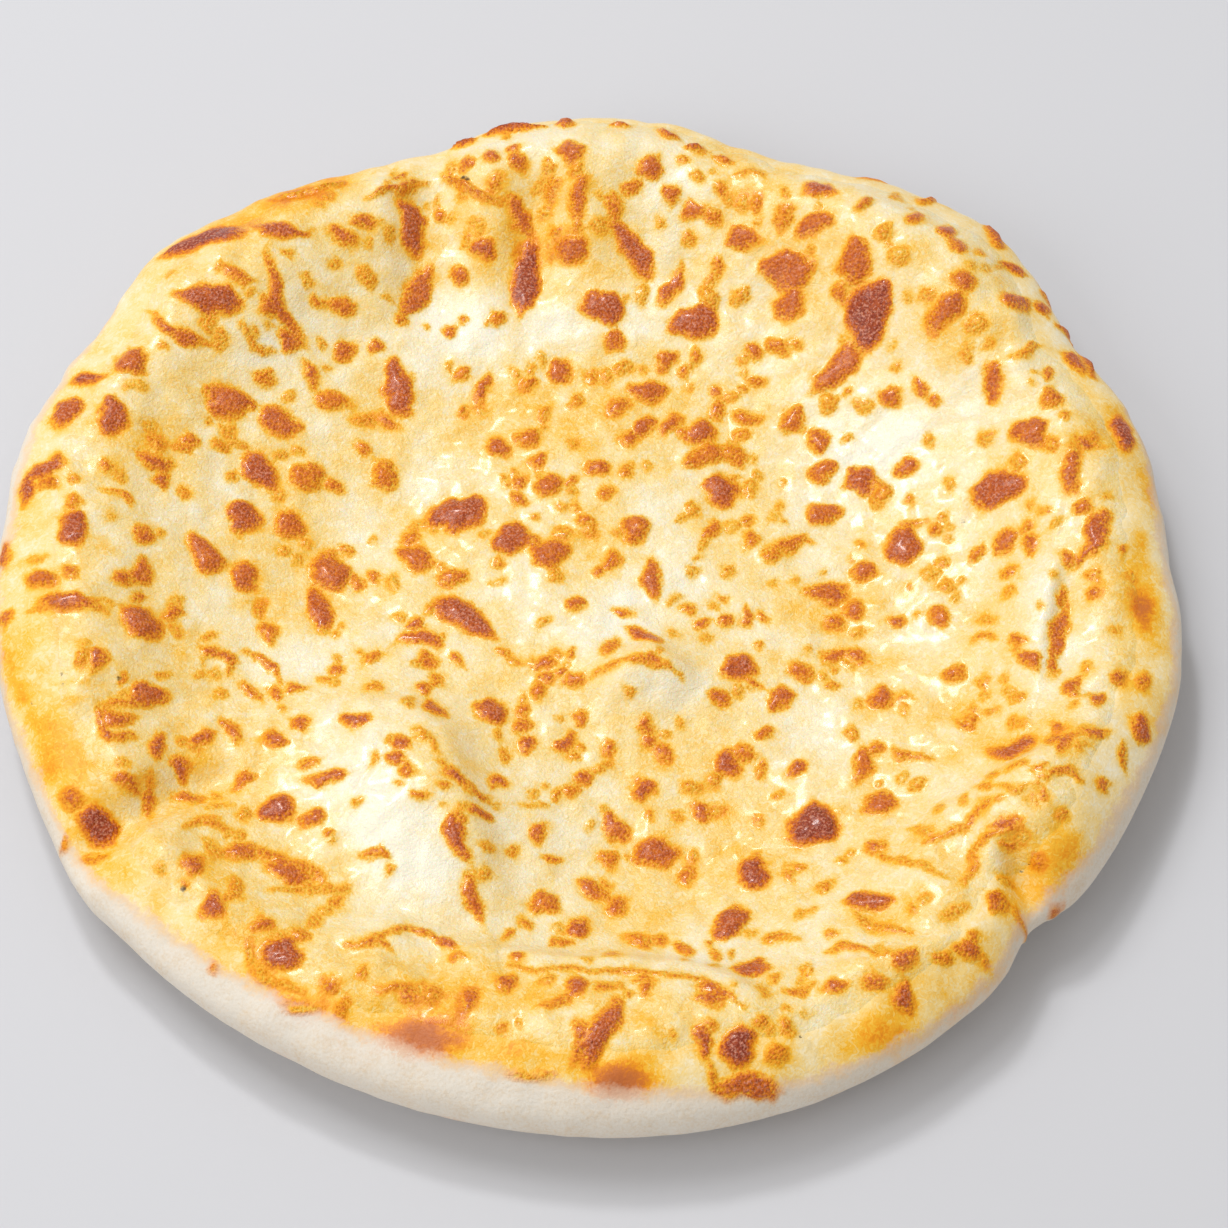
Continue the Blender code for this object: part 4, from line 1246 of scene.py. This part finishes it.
@dataclass(frozen=True)
class BakedColour:
    """How baking turns cream-white cheese and egg wash to yellow, gold and brown."""

    stops: tuple[tuple[float, Colour], ...] = (
        (0.00, srgb(252, 245, 222)),
        (0.12, srgb(252, 235, 192)),
        (0.25, srgb(252, 219, 140)),
        (0.37, srgb(252, 192, 50)),
        (0.48, srgb(248, 158, 0)),
        (0.60, srgb(226, 121, 0)),
        (0.74, srgb(202, 94, 8)),
        (0.88, srgb(176, 74, 22)),
        (1.00, srgb(150, 56, 26)),
    )
    # Pale pink of the painted sparkle highlights, standing in for glints of light on the crusts' wet foam
    painted_sparkle: Colour = srgb(228, 156, 130)
    char: Colour = srgb(62, 34, 20)
    mottle_size: float = 6 * MM
    wrinkle_size: float = 1.7 * MM
    fleck_size: float = 0.7 * MM
    bubble_size: float = 0.8 * MM
    patch_size: float = 3 * MM
    ripple_size: float = 1.5 * MM
    halo: tuple[float, float] = (-2.8, 0.3)
    crust: tuple[float, float] = (-1.0, 0.7)
    crown: tuple[float, float] = (0.0, 2.0)
    cloud_heat: float = 0.28
    wrinkle_heat: float = 0.20
    string_heat: float = 0.06
    fleck_heat: float = 0.13
    rim_heat: float = 0.35
    rim_gain: float = 0.22
    foam_heat: float = 0.38
    bubble_heat: float = 0.22
    patch_heat: float = 0.24
    halo_heat: float = 0.17
    painted_sparkle_share: float = 0.65
    char_share: float = 0.9

    def mottled(self, sheet: ShaderSheet, ground: Wire) -> Wire:
        """The browning of the ground, mottled in clouds and fine wrinkles.

        Args:
            sheet: The sheet to add it to.
            ground: The browning that the mesh gives.

        Returns:
            The mottled browning.
        """
        clouds = sheet.noise(self.mottle_size, 3, 0.6, 0.4) - 0.5
        wrinkles = sheet.noise(self.wrinkle_size, 2, 0.5, 1.2) - 0.5
        strings = 1 - wrinkles.size().between(0.0, 0.09)
        flecks = sheet.noise(self.fleck_size, 2, 0.6) - 0.5
        clouded = ground + clouds * self.cloud_heat + wrinkles * self.wrinkle_heat
        return clouded + strings * self.string_heat + flecks * self.fleck_heat

    def skin(self, sheet: ShaderSheet) -> "BrownedSkin":
        """The browned surface that the mesh's fields describe: blisters with a gold rim and a foamy crown,
        with painted sparkle highlights.

        Args:
            sheet: The sheet to add it to.

        Returns:
            Its colour, crust, browning and relief.
        """
        foam = sheet.noise(self.bubble_size, 3, 0.65) - 0.5
        bubbles = sheet.cells(self.bubble_size)
        depth, level = sheet.field("depth") + foam * 1.0, sheet.field("level")
        ground = self.mottled(sheet, sheet.field("ground"))
        halo = depth.between(*self.halo)
        crust = depth.between(*self.crust)
        crown = (depth + foam * 2.2).between(*self.crown)
        rim_level = self.rim_heat + level * self.rim_gain
        patches = sheet.noise(self.patch_size, 2, 0.5) - 0.5
        uneven = foam * self.foam_heat + (0.45 - bubbles) * self.bubble_heat
        uneven = uneven + patches * crown * self.patch_heat
        crust_level = rim_level + (level - rim_level) * crown + uneven
        around = ground + halo * halo * self.halo_heat
        browning = around + (crust_level - around) * crust
        # Painted sparkle highlights: fine flecks on the crowns of browned crusts are mixed toward a pale pink
        # in place of glints of light on wet foam
        painted_sparkle_mask = sheet.noise(self.fleck_size, 2, 0.6).between(0.49, 0.63) * level.between(0.55, 0.85)
        painted_sparkle_mask = painted_sparkle_mask * crown * crust
        colour = sheet.mix(painted_sparkle_mask * self.painted_sparkle_share, sheet.ramp(browning, self.stops), self.painted_sparkle)
        charred = (sheet.field("speck") + foam * 0.6).between(-0.35, 0.25)
        colour = sheet.mix(charred * self.char_share, colour, self.char)
        ripples = sheet.noise(self.ripple_size, 3, 0.6, 1.0)
        relief = ripples * 0.9 + (0.5 - bubbles) * (0.15 + crust * 0.9) + foam * (0.25 + crust * 0.6)
        return BrownedSkin(colour, crust, ground, relief, foam)


@dataclass(frozen=True)
class BrownedSkin:
    """The wires of a browned surface: colour, share of crust, browning between crusts, relief and foam."""

    colour: Wire
    crust: Wire
    ground: Wire
    relief: Wire
    foam: Wire


@dataclass(frozen=True)
class MeltedCheese:
    """Melted cheese whose blisters have browned in the oven."""

    name: str = "browned_cheese"
    relief: float = 0.45 * MM
    glow_depth: float = 2.5 * MM
    colours: BakedColour = BakedColour()

    def material(self) -> bpy.types.Material:
        """Builds the material."""
        sheet = ShaderSheet(self.name)
        skin = self.colours.skin(sheet)
        sheet.set(
            Base_Color=skin.colour,
            Roughness=0.34 - skin.crust * 0.06 + skin.foam * 0.2,
            Normal=sheet.bump(skin.relief, self.relief, 0.9),
            Subsurface_Weight=0.16,
            Subsurface_Radius=(1.0, 0.55, 0.22),
            Subsurface_Scale=self.glow_depth,
            Specular_IOR_Level=0.35,
            Coat_Weight=0.28,
            Coat_Roughness=0.12,
        )
        return sheet.material


@dataclass(frozen=True)
class BakedDough:
    """Wheat dough, egg-washed where it is gold, toasted in patches, dusted with flour where it is pale."""

    name: str = "baked_dough"
    flour: Colour = srgb(236, 229, 218)
    bare: Colour = srgb(226, 203, 172)
    blush: Colour = srgb(236, 192, 156)
    toast: Colour = srgb(196, 122, 68)
    cloud_size: float = 6 * MM
    speck_size: float = 0.8 * MM
    crumb_size: float = 2.2 * MM
    relief: float = 0.45 * MM
    colours: BakedColour = BakedColour()

    def material(self) -> bpy.types.Material:
        """Builds the material."""
        sheet = ShaderSheet(self.name)
        skin = self.colours.skin(sheet)
        clouds = sheet.noise(self.cloud_size, 4, 0.6) - 0.5
        specks = sheet.noise(self.speck_size, 3, 0.6) - 0.5
        toasted = skin.ground.between(0.42, 0.72)
        dusted = (sheet.field("flour") + clouds * 1.1 + specks * 0.5).between(0.25, 0.85)
        dusted = dusted * (1 - skin.crust) * (1 - toasted * 0.5)
        dust = sheet.mix((clouds * 0.8 + specks + 0.3).between(0.1, 0.9), self.flour, self.bare)
        crust = sheet.mix(toasted * (1 - skin.crust) * 0.5, skin.colour, self.toast)
        dusty = sheet.mix(dusted * 0.95, crust, dust)
        fringe = dusted * (1 - dusted)
        crumbs = sheet.noise(self.crumb_size, 4, 0.6)
        relief = skin.relief * (0.25 + skin.crust * 0.75) + crumbs * 0.6 + specks * 0.3
        sheet.set(
            Base_Color=sheet.mix(fringe * 1.6, dusty, self.blush),
            Roughness=0.42 + dusted * 0.4,
            Normal=sheet.bump(relief, self.relief, 0.8),
            Specular_IOR_Level=0.35,
        )
        return sheet.material


def ring_places(count: int, distance: Callable[[Array], Array]) -> tuple[Array, Array]:
    """The x, y places of one ring.

    Args:
        count: How many points it has.
        distance: Gives the distance from the middle at each bearing.

    Returns:
        x and y.
    """
    bearing = np.arange(count) * FULL_TURN / count
    return from_polar(distance(bearing), bearing)


@dataclass
class CheeseTopping:
    """The melted cheese: a blistered top, a thin ragged edge and a smooth underside on the dough."""

    form: BreadForm
    browning: Browning
    finish: MeltedCheese
    rings: int = 170
    thickness: float = 1.2 * MM
    depth: float = 2.8 * MM
    edge_fade: float = 9 * MM
    edge_dip: float = 0.3 * MM
    dip_width: float = 1.2 * MM
    ripples_start: float = 6 * MM
    edge_gap: float = 2 * MM
    edge_grain: Layers = ((1.8, 21, 13), (0.9, 22, 4))
    ripple_grain: Layers = ((0.5, 31, 9), (0.28, 32, 3.5))
    under_rings: int = 20
    under_count: int = 540

    def edge(self, bearing: Array) -> Array:
        """How far out the ragged edge reaches at each bearing."""
        plain = self.form.cheese_edge(bearing)
        x, y = from_polar(plain, bearing)
        ragged = plain + grains(x, y, self.edge_grain) * MM
        return np.minimum(ragged, self.form.outline(bearing) - self.edge_gap)

    def inward(self, x: Array, y: Array) -> Array:
        """How far inside the edge places lie."""
        distance, bearing = polar(x, y)
        return self.edge(bearing) - distance

    def top(self, x: Array, y: Array) -> Array:
        """Height of the cheese's top, without the blisters.

        Args:
            x: Places in plan.
            y: The same.

        Returns:
            Heights above the table.
        """
        inward = self.inward(x, y)
        body = self.thickness * smoothstep(0, self.edge_fade, inward)
        dip = self.edge_dip * np.exp(-inward / self.dip_width)
        ripples = grains(x, y, self.ripple_grain) * MM * smoothstep(0, self.ripples_start, inward)
        return self.form.top(x, y) + body - dip + ripples

    def fields(self, bases: Array) -> dict[str, Array]:
        """What the finish needs to know at each point."""
        return self.browning.fields(bases[:, 0], bases[:, 1])

    def build(self) -> bpy.types.Object:
        """Makes the cheese and gives it its finish."""
        counts = [1] + [6 * number for number in range(1, self.rings + 1)]
        places = [
            ring_places(count, lambda bearing, share=number / self.rings: share * self.edge(bearing))
            for number, count in enumerate(counts)
        ]
        x, y = (np.concatenate([place[axis] for place in places]) for axis in (0, 1))
        base = x, y, self.top(x, y)
        raised = self.form.raised(*base, self.browning.crusts(x, y).height)
        mesh = RingMesh()
        mesh.add_all(counts, base, raised)
        for number in range(1, self.under_rings + 1):
            share = 1 - number / self.under_rings
            count = max(1, int(self.under_count * share))
            x, y = ring_places(count, lambda bearing: share * self.edge(bearing))
            mesh.add((x, y, self.form.top(x, y) - self.depth))
        piece = mesh.to_piece("melted_cheese", self.form.origin(), self.fields)
        piece.data.materials.append(self.finish.material())
        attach(piece, "root")
        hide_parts("cheese")
        return piece


@dataclass
class Dough:
    """The dough: its rolled rim, floured at the front, and its underside."""

    form: BreadForm
    browning: Browning
    topping: CheeseTopping
    finish: BakedDough
    collar_count: int = 1080
    collar_rows: int = 26
    roll_rows: int = 14
    tuck: float = 9 * MM
    sink: float = 3.2 * MM
    sink_starts: float = 2 * MM
    sink_ends: float = 8 * MM
    inner_rings: int = 40
    under_rows: int = 46
    under_share: float = 0.91
    under_count: int = 720
    fewest: int = 12
    blisters_end: float = 5 * MM
    out_of_sight: float = 6.0
    under_fade: float = 3 * MM
    under_heat: float = 0.22
    under_grain: Layers = ((0.22, 41, 14), (0.12, 42, 5))
    flour_fade: float = 4 * MM
    flour_width: float = 0.5 * MM
    flour_under: float = 0.8
    flour_swings: tuple[Swing, ...] = (
        Swing(252, 38, 10 * MM), Swing(166, 15, 3.5 * MM), Swing(3, 18, 3.0 * MM), Swing(330, 14, 3.0 * MM),
    )

    def _covered(self, x: Array, y: Array) -> Array:
        """Height of the dough's top, sunk where the cheese covers it."""
        sunk = smoothstep(self.sink_starts, self.sink_ends, self.topping.inward(x, y))
        return self.form.top(x, y) - self.sink * sunk

    def _ground(self, x: Array, y: Array, washed: Array, drop: Array) -> Array:
        """The browning of the dough.

        Args:
            x: Places in plan.
            y: The same.
            washed: The browning of the top.
            drop: How far below the rim's widest height each point lies.

        Returns:
            The browning of the top above that height, and of the underside below it.
        """
        below = smoothstep(-self.under_fade, self.under_fade, drop)
        return washed * (1 - below) + (self.under_heat + grains(x, y, self.under_grain)) * below

    def _floured(self, distance: Array, bearing: Array, drop: Array) -> Array:
        """How thickly flour lies.

        Args:
            distance: Distances from the middle.
            bearing: Bearings in degrees.
            drop: How far below the rim's widest height each point lies.

        Returns:
            0 where there is none, 1 where it is thick.
        """
        starts = self.form.outline(bearing) - self.flour_width - swings(bearing, self.flour_swings)
        at_rim = smoothstep(-self.flour_fade, self.flour_fade + MM, distance - starts)
        return np.maximum(at_rim, self.flour_under * smoothstep(-self.flour_fade, self.flour_fade, drop))

    def fields(self, bases: Array) -> dict[str, Array]:
        """What the finish needs to know at each point, with no blisters and specks under the rim."""
        x, y, z = bases.T
        distance, bearing = polar(x, y)
        drop = self.form.widest_height(self.form.outline(bearing)) - z
        hidden = self.out_of_sight * smoothstep(0, self.flour_fade, drop - MM)
        fields = self.browning.fields(x, y)
        return fields | {
            "ground": self._ground(x, y, fields["ground"], drop),
            "flour": self._floured(distance, bearing, drop),
            "depth": fields["depth"] - hidden,
            "speck": fields["speck"] - hidden,
        }

    def _inner(self, bearing: Array) -> Array:
        """How far out the coarse middle reaches, under the cheese, at each bearing."""
        return self.form.cheese_edge(bearing) - self.tuck

    def _collar(self, row: int) -> tuple[Array, Array]:
        """The places of one ring of the fine collar, from 0 at the inside."""
        share = math.sin(math.pi / 2 * row / self.collar_rows)
        return ring_places(self.collar_count, lambda bearing: (
            self._inner(bearing) + share * (self.form.outline(bearing) - self._inner(bearing))))

    def _add_top(self, mesh: RingMesh) -> None:
        """Adds the middle and the collar, raised by the blisters."""
        for number in range(self.inner_rings):
            share = number / self.inner_rings
            x, y = ring_places(max(1, 6 * number), lambda bearing: share * self._inner(bearing))
            mesh.add((x, y, self._covered(x, y)))
        rows = [self._collar(row) for row in range(self.collar_rows + 1)]
        x, y = (np.concatenate([row[axis] for row in rows]) for axis in (0, 1))
        base = x, y, self._covered(x, y)
        raised = self.form.raised(*base, self.browning.crusts(x, y).height)
        mesh.add_all([self.collar_count] * len(rows), base, raised)

    def _add_underside(self, mesh: RingMesh) -> None:
        """Adds the roll under the rim, where the rim's blisters run out, and the underside."""
        rim_height = self.browning.crusts(*ring_places(self.collar_count, self.form.outline)).height
        for row in range(1, self.roll_rows + 1):
            inset = self.form.roll_under * (1 - math.cos(math.pi / 2 * row / self.roll_rows))
            x, y = ring_places(self.collar_count, lambda bearing: self.form.outline(bearing) - inset)
            left = rim_height * (1 - smoothstep(0, self.blisters_end, inset))
            z = self.form.underside(x, y)
            mesh.add((x, y, z), (*self.form.pushed(x, y, left), z))
        for row in range(1, self.under_rows):
            share = self.under_share * (1 - row / self.under_rows)
            count = max(self.fewest, int(self.under_count * share))
            x, y = ring_places(count, lambda bearing: share * self.form.outline(bearing))
            mesh.add((x, y, self.form.underside(x, y)))
        mesh.add((np.zeros(1), np.zeros(1), np.zeros(1)))

    def build(self) -> bpy.types.Object:
        """Makes the dough and gives it its finish."""
        mesh = RingMesh()
        self._add_top(mesh)
        self._add_underside(mesh)
        piece = mesh.to_piece("baked_bread", self.form.origin(), self.fields)
        piece.data.materials.append(self.finish.material())
        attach(piece, "root")
        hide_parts("bread")
        return piece


class Lamp(Enum):
    """The studio's lamps: x, y, z of the place in metres, the square's side, and the power in watts."""

    KEY = ((-0.8, 0.7, 2.0), 1.0, 16.0)
    GLINT = ((-0.5, 1.0, 1.8), 0.25, 9.0)
    FILL = ((-1.3, -0.8, 1.2), 1.2, 9.0)


@dataclass
class Studio:
    """A pale floor, soft lamps and the camera."""

    origin: Array
    target: tuple[float, float, float] = (7.5 * MM, 1.0 * MM, 8.0 * MM)
    distance: float = 1056 * MM
    elevation: float = 59.56
    tilt: float = 1.506
    lens: float = 82.36
    sensor: float = 24.0
    floor_side: float = 6.0
    floor_colour: Colour = srgb(212, 213, 218)
    air_colour: Colour = (1.0, 0.975, 0.935, 1.0)
    air_strength: float = 0.49

    def floor(self) -> bpy.types.Object:
        """Makes the floor."""
        half = self.floor_side / 2
        corners = [(-half, -half, 0), (half, -half, 0), (half, half, 0), (-half, half, 0)]
        mesh = bpy.data.meshes.new("floor")
        mesh.from_pydata(corners, [], [(0, 1, 2, 3)])
        floor = bpy.data.objects.new("floor", mesh)
        bpy.context.scene.collection.objects.link(floor)
        sheet = ShaderSheet("pale_floor")
        sheet.set(Base_Color=self.floor_colour, Roughness=0.8)
        mesh.materials.append(sheet.material)
        return floor

    def lamps(self) -> None:
        """Hangs the lamps, each turned to the bread, and lights the air."""
        for lamp in Lamp:
            place, side, power = lamp.value
            data = bpy.data.lights.new(lamp.name.lower(), "AREA")
            data.shape, data.size, data.energy = "SQUARE", side, power
            hung = bpy.data.objects.new(lamp.name.lower(), data)
            hung.location = place
            hung.rotation_euler = (-Vector(place)).to_track_quat("-Z", "Y").to_euler()
            bpy.context.scene.collection.objects.link(hung)
        world = bpy.data.worlds.new("air")
        world.use_nodes = True
        air = world.node_tree.nodes["Background"]
        air.inputs["Color"].default_value = self.air_colour
        air.inputs["Strength"].default_value = self.air_strength
        bpy.context.scene.world = world

    def camera(self) -> bpy.types.Object:
        """Sets up the camera, looking down at the bread and tilted a little to one side."""
        e, t = math.radians(self.elevation), math.radians(self.tilt)
        right, forward = Vector((1, 0, 0)), Vector((0, math.cos(e), -math.sin(e)))
        up = right.cross(forward)
        across = math.cos(t) * right + math.sin(t) * up
        upright = math.cos(t) * up - math.sin(t) * right
        data = bpy.data.cameras.new("camera")
        data.sensor_width, data.lens = self.sensor, self.lens
        camera = bpy.data.objects.new("camera", data)
        facing = Matrix((across, upright, -forward)).transposed().to_4x4()
        place = Vector(self.target) - Vector(self.origin) - forward * self.distance
        camera.matrix_world = Matrix.Translation(place) @ facing
        bpy.context.scene.collection.objects.link(camera)
        bpy.context.scene.camera = camera
        return camera

    def build(self) -> None:
        """Makes all of the studio."""
        self.camera()
        self.floor()
        self.lamps()
        bpy.context.scene.view_settings.view_transform = "Standard"


def main() -> None:
    """Builds the bread in order and notes each piece."""
    logging.basicConfig(level=logging.INFO, format="%(message)s")
    form = BreadForm()
    browning = Browning(form, Blistering(form))
    topping = CheeseTopping(form, browning, MeltedCheese())
    dough = Dough(form, browning, topping, BakedDough())
    for maker in (dough, topping):
        piece = maker.build()
        LOG.info("%s: %d triangles", piece.name, len(piece.data.polygons))
    Studio(form.origin()).build()
    LOG.info("studio: floor, lamps and camera")


if __name__ == "__main__":
    main()
